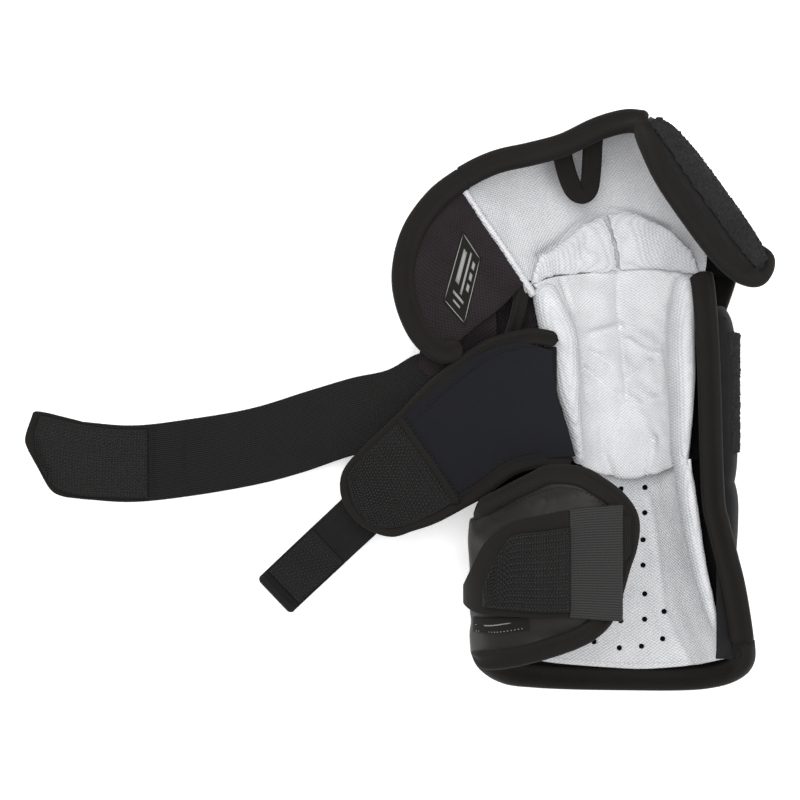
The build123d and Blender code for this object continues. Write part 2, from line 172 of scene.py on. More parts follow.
def sewPanel(name, table, thickness, smoothing=0, way=1):  # cloth of real thickness below its face
    normalUp = facing(table, way)
    crossNormal = np.cross(np.gradient(table, axis=1), np.gradient(table, axis=0))
    same = (crossNormal * normalUp).sum() > 0
    piece = layCloth(name, table)
    applyModifier(piece, "SOLIDIFY", thickness=thickness * mm, offset=-1 if same else 1)
    if smoothing:
        applyModifier(piece, "SUBSURF", levels=smoothing, render_levels=smoothing)
    cleanMesh(piece)
    return piece


tapeProfile = [(-1, -0.5), (-1, 0.1), (-0.72, 0.5), (-0.45, 0.36), (0, 0.55), (0.5, 0.95), (0.88, 0.72),
               (1, 0), (0.85, -0.7), (0.3, -0.8), (-0.5, -0.75), (-0.9, -0.7)]
rollProfile = [(-1, 0), (-0.8, 0.6), (-0.3, 0.97), (0.3, 0.97), (0.8, 0.6), (1, 0), (0.8, -0.6),
               (0.3, -0.97), (-0.3, -0.97), (-0.8, -0.6)]
webProfile = [(-1, -0.6), (-1, 0.6), (-0.9, 1), (0, 1), (0.9, 1), (1, 0.6), (1, -0.6), (0.9, -1), (0, -1),
              (-0.9, -1)]


def sweepAlong(name, route, width, height, up, profile=tapeProfile, steps=80, ring=28, ends=True):
    centre = smoothLine(route, steps)
    share = np.linspace(0, 1, steps)
    width = np.interp(share, np.linspace(0, 1, len(np.atleast_1d(width))), np.atleast_1d(width))
    height = np.interp(share, np.linspace(0, 1, len(np.atleast_1d(height))), np.atleast_1d(height))
    up = smoothLine(up, steps) if np.ndim(up) == 2 else np.tile(np.array(up, float), (steps, 1))
    along = np.gradient(centre, axis=0)
    along /= np.linalg.norm(along, axis=1, keepdims=True)
    side = np.cross(along, up)
    side /= np.linalg.norm(side, axis=1, keepdims=True)
    rise = np.cross(side, along)
    closed = np.array(profile + profile[:1], float)
    section = smoothLine(closed, ring + 1)
    if ends:
        fromEnd = np.minimum(np.arange(steps), np.arange(steps)[::-1])
        rounding = np.sqrt(np.clip(fromEnd / 2.5, 0, 1))
    else:
        rounding = np.ones(steps)
        rounding[[0, -1]] = 0
    offsetSide = section[None, :, 0, None] * (width * rounding / 2)[:, None, None] * side[:, None, :]
    offsetRise = section[None, :, 1, None] * (height * rounding / 2)[:, None, None] * rise[:, None, :]
    piece = layCloth(name, centre[:, None, :] + offsetSide + offsetRise)
    cleanMesh(piece)
    return piece


def scatterBeads(name, places, directions, lengths, thick, sides=5):  # copies of one small thread bead
    clearSelection()
    bpy.ops.mesh.primitive_uv_sphere_add(segments=sides, ring_count=4, radius=0.5)
    bead = bpy.context.object
    shape = np.array([v.co for v in bead.data.vertices])
    faces = [list(p.vertices) for p in bead.data.polygons]
    bpy.data.objects.remove(bead)
    places, directions = np.array(places, float), np.array(directions, float)
    directions /= np.linalg.norm(directions, axis=1, keepdims=True)
    lengths = np.broadcast_to(lengths, (len(places),))
    verts, allFaces = [], []
    for k, (place, way) in enumerate(zip(places, directions)):
        helper = np.array([0, 0, 1.0]) if abs(way[2]) < 0.9 else np.array([1.0, 0, 0])
        side = np.cross(way, helper)
        side /= np.linalg.norm(side)
        rise = np.cross(way, side)
        section = place + shape[:, :1] * side * thick + shape[:, 1:2] * rise * thick
        verts.append((section + shape[:, 2:] * way * lengths[k]) * mm)
        allFaces += [[v + k * len(shape) for v in face] for face in faces]
    mesh = bpy.data.meshes.new(name)
    mesh.from_pydata(np.vstack(verts).tolist(), [], allFaces)
    piece = bpy.data.objects.new(name, mesh)
    bpy.context.collection.objects.link(piece)
    cleanMesh(piece, 0.0000001)
    return piece


def stitchRow(name, lines, pitch=3.4, length=2.4, thick=0.7, lift=0.15, slant=0):
    places, directions = [], []
    for route in lines:
        route = np.array(route, float)
        total = np.linalg.norm(np.diff(smoothLine(route, 60), axis=0), axis=1).sum()
        count = max(int(total / pitch), 2)
        line = smoothLine(route, count)
        along = np.gradient(line, axis=0)
        along /= np.linalg.norm(along, axis=1, keepdims=True)
        for k in range(count):
            way = along[k].copy()
            if slant:
                side = np.cross(way, (0, 0, 1))
                way = way + side * slant * (1 if k % 2 else -1)
            places.append(line[k] + np.array((0, 0, lift)))
            directions.append(way)
    return scatterBeads(name, places, directions, length, thick)


def hookField(name, table, pitch, size, way=1):  # rows of moulded hooks standing on a patch
    normal = facing(table, way)
    rows, columns = table.shape[:2]
    length = np.linalg.norm(np.diff(table[:, columns // 2], axis=0), axis=1).sum()
    width = np.linalg.norm(np.diff(table[rows // 2], axis=0), axis=1).sum()
    countV, countU = int(length / pitch[1]), int(width / pitch[0])
    places, directions = [], []
    for a in range(countV):
        for b in range(countU):
            j = (a + 0.5) / countV * (rows - 1)
            i = (b + 0.5 + 0.25 * (-1) ** a) / countU * (columns - 1)
            j0, i0 = min(int(j), rows - 2), min(max(int(i), 0), columns - 2)
            along = table[j0 + 1, i0] - table[j0, i0]
            across = table[j0, i0 + 1] - table[j0, i0]
            place = table[j0, i0] + along * (j - j0) + across * (i - i0)
            along = along / np.linalg.norm(along)
            across = across / np.linalg.norm(across)
            lean = 1 if a % 2 else -1
            places.append(place + normal[j0, i0] * size[1] * 0.3 + rng.normal(size=3) * 0.08)
            directions.append(across * 0.75 * lean + along * 0.75 + normal[j0, i0] * 0.55)
    return scatterBeads(name, places, directions, size[0], size[1], sides=4)


hookPitch, hookSize = (2.2, 1.9), (2.3, 0.9)


def joinPieces(name, pieces):
    clearSelection()
    for piece in pieces:
        piece.select_set(True)
    bpy.context.view_layer.objects.active = pieces[0]
    bpy.ops.object.join()
    pieces[0].name = pieces[0].data.name = name
    return pieces[0]


def fillWithAir(piece, voxel, pressure, cap, frames=20):  # cloth simulation swells the cover
    applyModifier(piece, "REMESH", mode="VOXEL", voxel_size=voxel * mm)
    before = np.array([v.co for v in piece.data.vertices])
    modifier = piece.modifiers.new("cloth", "CLOTH")
    modifier.settings.use_pressure = True
    modifier.settings.uniform_pressure_force = pressure
    modifier.settings.effector_weights.gravity = 0
    modifier.settings.quality = 5
    modifier.collision_settings.use_collision = False
    scene = bpy.context.scene
    for step in range(1, frames + 1):
        scene.frame_set(step)
    depsgraph = bpy.context.evaluated_depsgraph_get()
    result = piece.evaluated_get(depsgraph).data
    after = np.array([v.co for v in result.vertices])
    piece.modifiers.remove(modifier)
    scene.frame_set(1)
    move = after - before
    size = np.linalg.norm(move, axis=1, keepdims=True)
    move *= np.minimum(1, cap * mm / np.maximum(size, 1e-9))
    piece.data.vertices.foreach_set("co", (before + move).ravel())
    applyModifier(piece, "SUBSURF", levels=1, render_levels=1)


def finishPiece(piece, material, body=None, nodes=(), bend=None):
    piece.data.materials.clear()
    piece.data.materials.append(material)
    for face in piece.data.polygons:
        face.use_smooth = True
    if bend:
        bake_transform(piece)
    else:
        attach(piece, body)
    if nodes:
        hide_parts(*nodes)
    return piece


# materials
def hexColour(code):  # sRGB hex to linear
    channels = [int(code[i:i + 2], 16) / 255 for i in (1, 3, 5)]
    return [c / 12.92 if c <= 0.04045 else ((c + 0.055) / 1.055) ** 2.4 for c in channels] + [1]


def addNode(tree, kind, settings=None, links=None):
    node = tree.nodes.new(kind)
    for name, value in (settings or {}).items():
        if isinstance(name, int) or name in node.inputs:
            node.inputs[name].default_value = value
        else:
            setattr(node, name, value)
    for name, socket in (links or {}).items():
        tree.links.new(socket, node.inputs[name])
    return node


def startMaterial(name, settings):
    material = bpy.data.materials.new(name)
    material.use_nodes = True
    tree = material.node_tree
    shader = tree.nodes["Principled BSDF"]
    for key, value in settings.items():
        shader.inputs[key].default_value = value
    return material, tree, shader


def clothFinish(name, dark, light, pattern, settings, bump, reliefShade=0.35, follow="UV", patchiness=0.35):
    # pattern: (kind, pitch across mm, pitch along mm, turn degrees)
    material, tree, shader = startMaterial(name, settings)
    kind, pitchU, pitchV, turn = pattern
    coordinates = addNode(tree, "ShaderNodeTexCoord")
    mapping = addNode(tree, "ShaderNodeMapping",
                      {"Scale": (1000 / pitchU, 1000 / pitchV, 1000 / pitchU),
                       "Rotation": (0, 0, math.radians(turn))},
                      {"Vector": coordinates.outputs[follow]})
    if kind == "grain":
        cells = addNode(tree, "ShaderNodeTexVoronoi", {"Scale": 1.414, "Randomness": 0.16},
                        {"Vector": mapping.outputs[0]})
        height = cells.outputs["Distance"]
    elif kind == "rib":
        ribs = addNode(tree, "ShaderNodeTexWave",
                       {"Scale": 0.31416, "Distortion": 0.6, "Detail": 1.0, "Detail Scale": 0.5},
                       {"Vector": mapping.outputs[0]})
        weft = addNode(tree, "ShaderNodeTexWave", {"Scale": 0.31416, "Distortion": 0.4,
                                                   "bands_direction": "Y"},
                       {"Vector": mapping.outputs[0]})
        height = addNode(tree, "ShaderNodeMath", {"operation": "MULTIPLY_ADD", 1: 0.45},
                         {0: weft.outputs["Fac"], 2: ribs.outputs["Fac"]}).outputs[0]
    else:
        height = addNode(tree, "ShaderNodeTexNoise", {"Scale": 1.0, "Detail": 3.0, "Roughness": 0.65},
                         {"Vector": mapping.outputs[0]}).outputs["Fac"]
    place = coordinates.outputs["Object"]
    patchy = addNode(tree, "ShaderNodeTexNoise", {"Scale": 55.0, "Detail": 4.0}, {"Vector": place})
    middle = {"grain": 0.36, "rib": 0.7, "noise": 0.5}[kind]
    worn = addNode(tree, "ShaderNodeMath", {"operation": "MULTIPLY_ADD", 1: patchiness,
                                            2: 0.5 - 0.5 * patchiness - reliefShade * middle},
                   {0: patchy.outputs["Fac"]})
    # the weave's relief also tints the colour: painted shade in its hollows and painted highlight on its
    # crests, mixed with the random patchy tone
    mixed = addNode(tree, "ShaderNodeMath", {"operation": "MULTIPLY_ADD", 1: reliefShade},
                    {0: height, 2: worn.outputs[0]})
    ramp = addNode(tree, "ShaderNodeValToRGB", None, {"Fac": mixed.outputs[0]})
    ramp.color_ramp.elements[0].position = 0.22
    ramp.color_ramp.elements[1].position = 0.78
    ramp.color_ramp.elements[0].color = hexColour(light if kind == "grain" else dark)
    ramp.color_ramp.elements[1].color = hexColour(dark if kind == "grain" else light)
    tree.links.new(ramp.outputs[0], shader.inputs["Base Color"])
    relief = addNode(tree, "ShaderNodeBump",
                     {"Strength": bump[0], "Distance": bump[1] * mm, "invert": kind == "grain"},
                     {"Height": height})
    tree.links.new(relief.outputs[0], shader.inputs["Normal"])
    rough = addNode(tree, "ShaderNodeMapRange",
                    {"To Min": settings["Roughness"] - 0.06,
                     "To Max": min(1, settings["Roughness"] + 0.08)},
                    {"Value": patchy.outputs["Fac"]})
    tree.links.new(rough.outputs[0], shader.inputs["Roughness"])
    return material


def dullCloth(roughness):  # settings that the black cloths share
    return {"Roughness": roughness, "Specular IOR Level": 0.14, "Sheen Weight": 0.02}


# brushed polyester warp knit: matt white, rice-grain rows a little coarse so that they show; the bluish
# grey in the grain's hollows is painted shade
knitLook = {"Roughness": 0.88, "Sheen Weight": 0.1, "Sheen Roughness": 0.4}
linerKnit = clothFinish("linerWarpKnit", "#b9bac0", "#ececeb", ("grain", 2.6, 1.9, 45),
                        knitLook, (0.85, 0.9), 0.75)
linerKnitPad = clothFinish("linerWarpKnitPad", "#b9bac0", "#ececeb", ("grain", 2.6, 1.9, 45),
                           knitLook, (0.85, 0.9), 0.75, "Object")
# knitted nylon binding: near-black with a warm cast, soft low sheen
bindingKnit = clothFinish("bindingKnitNylon", "#11100f", "#211f1d", ("noise", 0.5, 0.5, 0),
                          dullCloth(0.82), (0.3, 0.2), 0.5, "Object")
# spacer mesh with a purple-brown cast: small staggered cells that catch light on their ribs
spacerMesh = clothFinish("spacerMeshPolyester", "#151113", "#2c2629", ("grain", 3.2, 2.2, 45),
                         dullCloth(0.78), (0.7, 0.8), 0.6)
# jersey laminated to neoprene: fine and even, navy-black
neopreneJersey = clothFinish("neopreneJersey", "#0f0f13", "#191a1f", ("noise", 0.6, 0.6, 0),
                             dullCloth(0.75), (0.25, 0.2), 0.5, "Object")
# woven elastic webbing: fine ribs along the strap crossed by the weft
elasticWeb = clothFinish("elasticWebbing", "#0e0e0e", "#222221", ("rib", 1.3, 0.9, 0),
                         dullCloth(0.7), (0.75, 0.45), 0.7)
# stiffer ribbed elastic of the forearm strap: the same black webbing, its paler ribs a painted highlight
# where they catch light
elasticPaintedHighlight = clothFinish("elasticPaintedHighlight", "#1c1c1c", "#30302f", ("rib", 1.5, 1.0, 0),
                            {"Roughness": 0.6, "Specular IOR Level": 0.2, "Sheen Weight": 0.02},
                            (0.5, 0.35), 0.7)
# moulded nylon hooks: a touch lighter and glossier than the tape that they stand on
hookNylon = clothFinish("hookNylon", "#131312", "#272726", ("noise", 0.6, 0.6, 0),
                        {"Roughness": 0.36, "Specular IOR Level": 0.32}, (0.1, 0.05), 0.5, "Object")
# woven hook tape ground cloth
hookTape = clothFinish("hookTapeNylon", "#0a0a0a", "#1a1a19", ("rib", 1.2, 1.2, 0),
                       {"Roughness": 0.55, "Specular IOR Level": 0.2}, (0.5, 0.3), 0.6)
# napped loop fleece: fuzzy charcoal; the light flecks on the raised fibre are painted highlight
loopFleece = clothFinish("loopFleeceNylon", "#111111", "#333333", ("noise", 1.3, 1.3, 0),
                         dullCloth(0.95), (0.9, 0.9), 0.8, "Object")
# polyurethane-coated synthetic leather: satin brown-black with a fine pebble grain
coatedLeather = clothFinish("polyurethaneLeather", "#161412", "#23201e", ("grain", 1.1, 1.1, 20),
                            {"Roughness": 0.5, "Specular IOR Level": 0.24}, (0.25, 0.12), 0.4, "Object")
# injection-moulded polyethylene: black, fine spark-eroded texture with a dull gloss
mouldedShell = clothFinish("mouldedPolyethylene", "#101012", "#1b1b1d", ("noise", 0.7, 0.7, 0),
                           {"Roughness": 0.38, "Specular IOR Level": 0.5}, (0.18, 0.1), 0.4, "Object")
# nylon cover cloth on the outside and the sides
coverCloth = clothFinish("coverNylonCloth", "#121112", "#232122", ("grain", 1.6, 1.2, 45),
                         dullCloth(0.72), (0.5, 0.35), 0.5, "Object")
# bonded polyester sewing thread, slightly glossy
blackThread = clothFinish("blackThread", "#0d0d0d", "#1d1c1b", ("noise", 0.3, 0.3, 0),
                          {"Roughness": 0.5, "Specular IOR Level": 0.25}, (0.2, 0.1), 0.4, "Object")
whiteThread = clothFinish("whiteThread", "#c9c8c4", "#efeeea", ("noise", 0.3, 0.3, 0),
                          {"Roughness": 0.6}, (0.2, 0.1), 0.4, "Object")
# heat-transfer ink: flat pale grey film
transferInk = clothFinish("transferInk", "#6c6c6a", "#90908d", ("noise", 0.8, 0.8, 0),
                          {"Roughness": 0.45}, (0.1, 0.05), 0.4, "Object")
# moulded nylon rivet heads, a little glossier than the shell
rivetNylon = clothFinish("rivetNylon", "#1a1a1b", "#2b2b2c", ("noise", 1.0, 1.0, 0),
                         {"Roughness": 0.3}, (0.1, 0.05), 0.4, "Object")
print("materials ready")

# carried-over hard parts
for node, finish in (("forearm_shell", mouldedShell), ("elbow_cap", mouldedShell),
                     ("bicep_shell", mouldedShell),
                     ("cap_rivets", rivetNylon)):
    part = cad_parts[node]
    part.data.materials.clear()
    part.data.materials.append(finish)

# padded body under the lining
channels = {  # flat floor from/to, radii left/right, turns left/right in degrees, runs left/right
    "wrist": ((-50, 22), (50, 48), (72, 88), (0, 9)),
    "forearm": ((-50, 10), (50, 48), (72, 88), (0, 9)),
    "elbow": ((-6, 16), (44, 44), (80, 84), (10, 8)),
    "bicep": ((-12, 36), (60, 44), (80, 66), (0, 0)),
    "shoulder": ((-74, -30), (60, 44), (80, 66), (0, 0)),
}


def channelRow(name, depth, y, trimLeft=1.0, trimRight=1.0):  # left rim to right rim
    (left, right), radii, turns, runs = channels[name]
    row = []
    radius, turn = radii[0] - depth, math.radians(turns[0])
    tipLeft = (left - radius * math.sin(turn), radii[0] - radius * math.cos(turn))
    if runs[0]:
        row.append((tipLeft[0] - runs[0] * math.cos(turn), y, tipLeft[1] + runs[0] * math.sin(turn)))
    for share in np.linspace(trimLeft, 0, 7):
        a = turn * share
        row.append((left - radius * math.sin(a), y, radii[0] - radius * math.cos(a)))
    radius, turn = radii[1] - depth, math.radians(turns[1])
    for share in np.linspace(0, trimRight, 7):
        a = turn * share
        row.append((right + radius * math.sin(a), y, radii[1] - radius * math.cos(a)))
    if runs[1]:
        row.append((row[-1][0] + runs[1] * math.cos(turn), y, row[-1][2] + runs[1] * math.sin(turn)))
    return row


cup = {"y": 12, "z": 149, "turn": 22, "rows": 7}


def cupRow(depth, angle):  # elbow section turned about the cup's axis
    turn = math.radians(angle)
    row = []
    for x, _, z in channelRow("elbow", depth, 0):
        reach = cup["z"] + 1 - z
        row.append((x, cup["y"] + reach * math.sin(turn), cup["z"] - reach * math.cos(turn)))
    return row


padDepth, padThick = 3.4, 5
wristEnd, flexEnd, cutBack = -177, -52.5, 20
forearmPadTable = layNet([channelRow("wrist", padDepth, wristEnd), channelRow("wrist", padDepth, -140),
                          channelRow("forearm", padDepth, -90), channelRow("forearm", padDepth, flexEnd)],
                         90, 50)
rimShare = np.clip(forearmPadTable[..., 2] / 52, 0,
                   1) ** 1.6  # the wrist end is cut back towards both rims
endCut = (wristEnd + cutBack * rimShare - flexEnd) / (wristEnd - flexEnd)
forearmPadTable[..., 1] = flexEnd + (forearmPadTable[..., 1] - flexEnd) * endCut
forearmPadTable = press(forearmPadTable, [[(-96, -168, 40), (-60, -168, 4), (0, -168, 3), (66, -168, 50)],
                                          [(-90, -62, 40), (-50, -62, 3), (0, -62, 3), (56, -62, 50)]],
                        1.6, 3, plan=False, way=-1)
forearmPad = sewPanel("forearmPad", rumple(forearmPadTable, 0.8, 50, 3, way=-1), padThick, 1, way=-1)
finishPiece(forearmPad, coverCloth, "forearm", ["forearm_foam"])

elbowPadTable = layNet([cupRow(padDepth, a) for a in np.linspace(-cup["turn"], cup["turn"], cup["rows"])],
                       90, 50)
elbowPadTable = press(elbowPadTable, [[(-50, -30, 30), (-10, -38, 8), (20, -38, 8), (58, -30, 30)],
                                      [(-50, 52, 34), (-10, 60, 8), (20, 60, 8), (58, 52, 34)]],
                      1.6, 3, plan=False, way=-1)
elbowPad = sewPanel("elbowPad", elbowPadTable, padThick, 1, way=-1)
finishPiece(elbowPad, coverCloth, "elbow", ["elbow_foam"])

padColumns, padRows = 90, 44
armStart, armEnd, edgeGap = 79, 174, 3
bicepStart = smoothLine(channelRow("bicep", padDepth, armStart, 0.72, 0.93), padColumns)
bicepEnd = smoothLine(channelRow("shoulder", padDepth, armEnd, 0.8, 0.95), padColumns)
trimLine = [(-112, 138), (-88, 149), (-52, 159), (-20, 171), (4, 174), (24, 166), (62, 124), (84, 78)]
bicepPadTable = np.zeros((padRows, padColumns, 3))
for i in range(padColumns):  # each line of the channel runs up to the trimmed shoulder edge
    reach = 1.0
    for _ in range(12):
        x = bicepStart[i, 0] + (bicepEnd[i, 0] - bicepStart[i, 0]) * reach
        wanted = np.interp(x, *zip(*trimLine)) - edgeGap - armStart
        reach = 0.5 * reach + 0.5 * wanted / (armEnd - armStart)
    for j, share in enumerate(np.linspace(0, reach, padRows)):
        bicepPadTable[j, i] = bicepStart[i] + (bicepEnd[i] - bicepStart[i]) * share
bicepPad = sewPanel("bicepPad", rumple(bicepPadTable, 0.8, 50, 5, way=-1), padThick, 1, way=-1)
finishPiece(bicepPad, coverCloth, "bicep", ["bicep_foam"])
print("padded body done")

gussets = {  # stretch cloth that closes the gaps at both flex lines
    "lowerGusset": ([channelRow("forearm", 4, -64)[1:-1], channelRow("forearm", 4, -50)[1:-1],
                     cupRow(4, -19)[1:-1]],
                    ("forearm", "elbow", (0, -60, 55), (0, -42, 55))),
    "upperGusset": ([cupRow(4, 19)[2:-1], channelRow("bicep", 4, 76)[2:-1],
                     channelRow("bicep", 4, 90)[2:-1]],
                    ("elbow", "bicep", (0, 66, 55), (0, 84, 55))),
}
for name, (rows, bend) in gussets.items():
    piece = sewPanel(name, layNet(rows, 80, 26), 2, way=-1)
    finishPiece(piece, bindingKnit, bend=bend)

# white lining of the forearm, perforated
forearmLining = {
    "rows": [[(-56, -42, 44), (-44, -42, 26), (-28, -42, 17), (-4, -42, 15), (12, -42, 15.5),
              (22, -41, 23), (29, -39, 37),
              (33.5, -36, 53)],
             [(-64, -72, 44), (-52, -72, 24), (-34, -72, 15), (-6, -72, 14), (12, -72, 14.5),
              (23, -72, 22), (31, -72, 38),
              (36, -72, 52)],
             [(-74, -104, 44), (-60, -104, 24), (-40, -104, 15), (-8, -104, 14), (15, -104, 14.5),
              (28, -104, 22),
              (37, -104, 38), (41.5, -104, 52)],
             [(-82, -132, 44), (-66, -132, 24), (-44, -133, 15), (-12, -134, 14), (18, -134, 14.5),
              (33, -133, 22),
              (43, -131, 38), (48, -130, 51)],
             [(-88, -158, 46), (-70, -160, 28), (-43, -165, 19), (-12, -168, 15), (12, -169, 15),
              (39, -166, 22),
              (52, -161, 37), (61, -157, 50)]],
    "fold": [(14, -60), (19, -90), (22, -118), (25, -136), (31, -150), (40, -166)],
    "innerFold": [(24, -50), (25, -78), (32, -112), (41, -140), (50, -160)],
    "holes": [(-3, -56), (12, -55), (12, -71), (11, -88), (11, -104), (-3, -124), (12, -122), (-3, -139),
              (12, -138),
              (24, -133), (-20, -152), (-4, -156), (10, -155), (23, -150), (-4, -72), (-4, -88),
              (-4, -104),
              (-19, -104), (-19, -122), (-20, -138), (-19, -88), (-19, -72)],
    "holeRadius": 1.7,
    "thickness": 1.8,
}
liningTable = layNet(forearmLining["rows"], 110, 120)
liningTable = press(liningTable, [forearmLining["fold"]], 1.4, 2.2)
liningTable = press(liningTable, [forearmLining["innerFold"]], -0.9, 4)
liningTable = rumple(liningTable, 0.9, 26, 11)
forearmLiner = sewPanel("forearmLiner", liningTable, forearmLining["thickness"])
punches = []
for x, y in forearmLining["holes"]:
    clearSelection()
    bpy.ops.mesh.primitive_cylinder_add(vertices=14, radius=forearmLining["holeRadius"] * mm, depth=0.03,
                                        location=(x * mm, y * mm, 0.016))
    punches.append(bpy.context.object)
punch = joinPieces("punch", punches)
applyModifier(forearmLiner, "BOOLEAN", operation="DIFFERENCE", object=punch, solver="EXACT")
bpy.data.objects.remove(punch)
finishPiece(forearmLiner, linerKnit, "forearm", ["forearm_liner"])

# white pocket for the point of the elbow, gathered in the middle
elbowPocket = {
    "rows": [[(-60, 71, 50), (-46, 76, 38), (-27, 79, 24), (-6, 83, 18.5), (13, 83, 20), (30, 80, 32),
              (38, 77, 46)],
             [(-50, 62, 49), (-37, 61, 41), (-24, 61, 30.5), (-5, 61, 23), (12, 61, 24), (22, 60, 31),
              (31, 60, 46)],
             [(-42, 35, 40), (-26, 32, 22), (-3, 30, 15.5), (12, 32, 17), (20, 33, 25), (28, 34, 43)],
             [(-39, 6, 39), (-23, 4, 21.5), (0, 2, 15), (12, 2, 17), (22, 5, 26), (30, 6, 43)],
             [(-34, -20, 36), (-20, -22, 23), (-4, -22, 19), (8, -22, 19.5), (20, -20, 27),
              (31, -20, 42)],
             [(-31, -38, 35), (-19, -43, 28), (-8, -45.5, 26.5), (8, -45.5, 26.5), (19, -43, 29),
              (30, -38, 40)],
             [(-31, -39, 32), (-19, -45, 23), (-8, -48, 21), (8, -48, 21), (19, -45, 23), (30, -39, 36)]],
    "centreSeam": [(-6, 81), (-5, 57), (-3, 40), (-1, 27), (1, 3)],
    "sideSeams": [[(-42, 74), (-31, 40), (-27, 19), (-25, 0)],
                  [(27, 75), (22, 58), (22, 37), (20, 34), (22, 6)]],
    "gathers": [[(-25, 19), (-16, 11), (-9, 6), (-4, 4)], [(6, 1), (10, -2), (15, 1), (21, 3)],
                [(-22, 42), (-14, 44), (-4, 46)], [(2, 38), (9, 33), (20, 28)],
                [(3, 14), (10, 20), (14, 24)],
                [(-22, 30), (-15, 26), (-10, 22)]],
    "puckers": [[(-4, -21), (-3, -10), (-1, -2)], [(6, -3), (11, -13), (15, -24)],
                [(1, 3), (2, -6), (0, -14)]],
    "swells": [[(-15, 66), (-15, 50)], [(8, 66), (9, 46)], [(-17, 30), (-14, 22)], [(11, 26), (12, 14)]],
    "bulge": [[(-16, -19), (-14, -33), (-10, -46)], [(16, -24), (15, -34), (12, -46)]],
    "thickness": 2,
}
pocketTable = layNet(elbowPocket["rows"], 130, 200)
for routes, depth, width in (([elbowPocket["centreSeam"]], 1.6, 6), (elbowPocket["swells"], -1.8, 7),
                             (elbowPocket["puckers"], 1.2, 2.8), (elbowPocket["bulge"], 2.0, 2.8),
                             (elbowPocket["gathers"], 1.6, 2.2), (elbowPocket["sideSeams"], 1.7, 1.9),
                             ([elbowPocket["centreSeam"]], 1.5, 2.0)):
    pocketTable = press(pocketTable, routes, depth, width)
pocketTable = press(pocketTable, [[(0, -28), (0, -36)]], -3.2, 10)
pocketTable = rumple(pocketTable, 1.0, 15, 21)
elbowPocketLining = sewPanel("elbowPocketLining", pocketTable, elbowPocket["thickness"])
finishPiece(elbowPocketLining, linerKnit, "elbow", ["elbow_liner"])

# soft rolls each side of the elbow
rolls = {
    "rollLeft": {"route": [(-55, 72, 45), (-50, 56, 45), (-43.5, 37, 44), (-40.5, 20, 43), (-39, 2, 42),
                           (-36, -15, 40),
                           (-33.5, -28, 38), (-31, -41, 35)],
                 "width": [15, 19, 23, 18, 17, 13, 9, 6], "height": [14, 19, 22, 22, 21, 20, 17, 12],
                 "up": (0.25, 0, 1), "node": "liner_roll_left"},
    "rollRight": {"route": [(33, 78, 42), (31.5, 56, 42), (30.5, 37, 42), (31, 14, 42), (30.5, -14, 43),
                            (30, -34, 43.5),
                            (31.5, -50, 44)],
                  "width": [11, 14, 15, 14, 11, 9, 6], "height": [16, 23, 26, 26, 24, 20, 13],
                  "up": (0.35, 0, 1), "node": "liner_roll_right"},
}
for name, roll in rolls.items():
    piece = sweepAlong(name, roll["route"], roll["width"], roll["height"], roll["up"], rollProfile, 70,
                       36)
    fillWithAir(piece, 2.6, 3, 1.5, 12)
    finishPiece(piece, linerKnitPad, "elbow", [roll["node"]])
# the right roll runs on down the forearm and covers the lining's edge
forearmRoll = sweepAlong("forearmRoll", [(31, -38, 45), (33.5, -58, 47), (36, -74, 47.5),
                                         (38.5, -90, 47.5), (41.5, -105, 47.5),
                                         (45, -118, 47.5), (48.5, -131, 47), (54.5, -145, 46.5),
                                         (60, -155, 46)],
                         [8, 10, 10, 9.5, 9, 8, 7, 6, 5], [16, 18, 17, 15, 14, 12, 11, 9, 8], (0.3, 0, 1),
                         rollProfile, 110, 30)
fillWithAir(forearmRoll, 2.2, 2, 1.0, 8)
finishPiece(forearmRoll, linerKnitPad, "forearm")
print("elbow lining done")

# white lining of the upper arm
bicepLining = {
    "rows": [[(-64, 66, 51), (-50, 72, 36), (-30, 77, 21), (-6, 80, 16), (16, 80, 20), (32, 77, 34),
              (42, 73, 50)],
             [(-80, 90, 51), (-62, 94, 34), (-42, 100, 19), (-17, 104, 15), (10, 104, 18), (30, 99, 32),
              (44, 92, 50)],
             [(-93, 113, 51), (-74, 116, 34), (-54, 119, 21), (-26, 124, 15.5), (0, 126, 19),
              (20, 122, 34), (36, 114, 52)],
             [(-106, 134, 51), (-86, 139, 36), (-64, 144, 25), (-36, 149, 18), (-12, 151, 21),
              (8, 149, 34), (24, 141, 54)],
             [(-104, 139, 50), (-84, 146, 44), (-62, 151, 36), (-38, 158, 26), (-14, 164, 28),
              (2, 164, 44), (12, 158, 60)]],
    "upperSeam": [(-56, 90), (-43, 98), (-34, 107), (-22, 116), (-17, 119), (-6, 119), (5, 117),
                  (12, 113), (24, 106)],
    "fold": [(-34, 172), (-33, 150), (-28, 135), (-25, 120)],
    "thickness": 2,
}
upperTable = layNet(bicepLining["rows"], 150, 120)
upperTable = press(upperTable, [bicepLining["upperSeam"]], 1.6, 2.4)
upperTable = press(upperTable, [bicepLining["fold"]], 1.2, 2.5)
upperTable = rumple(upperTable, 1.2, 34, 31)
bicepLiner = sewPanel("bicepLiner", upperTable, bicepLining["thickness"])
finishPiece(bicepLiner, linerKnit, "bicep", ["bicep_liner"])

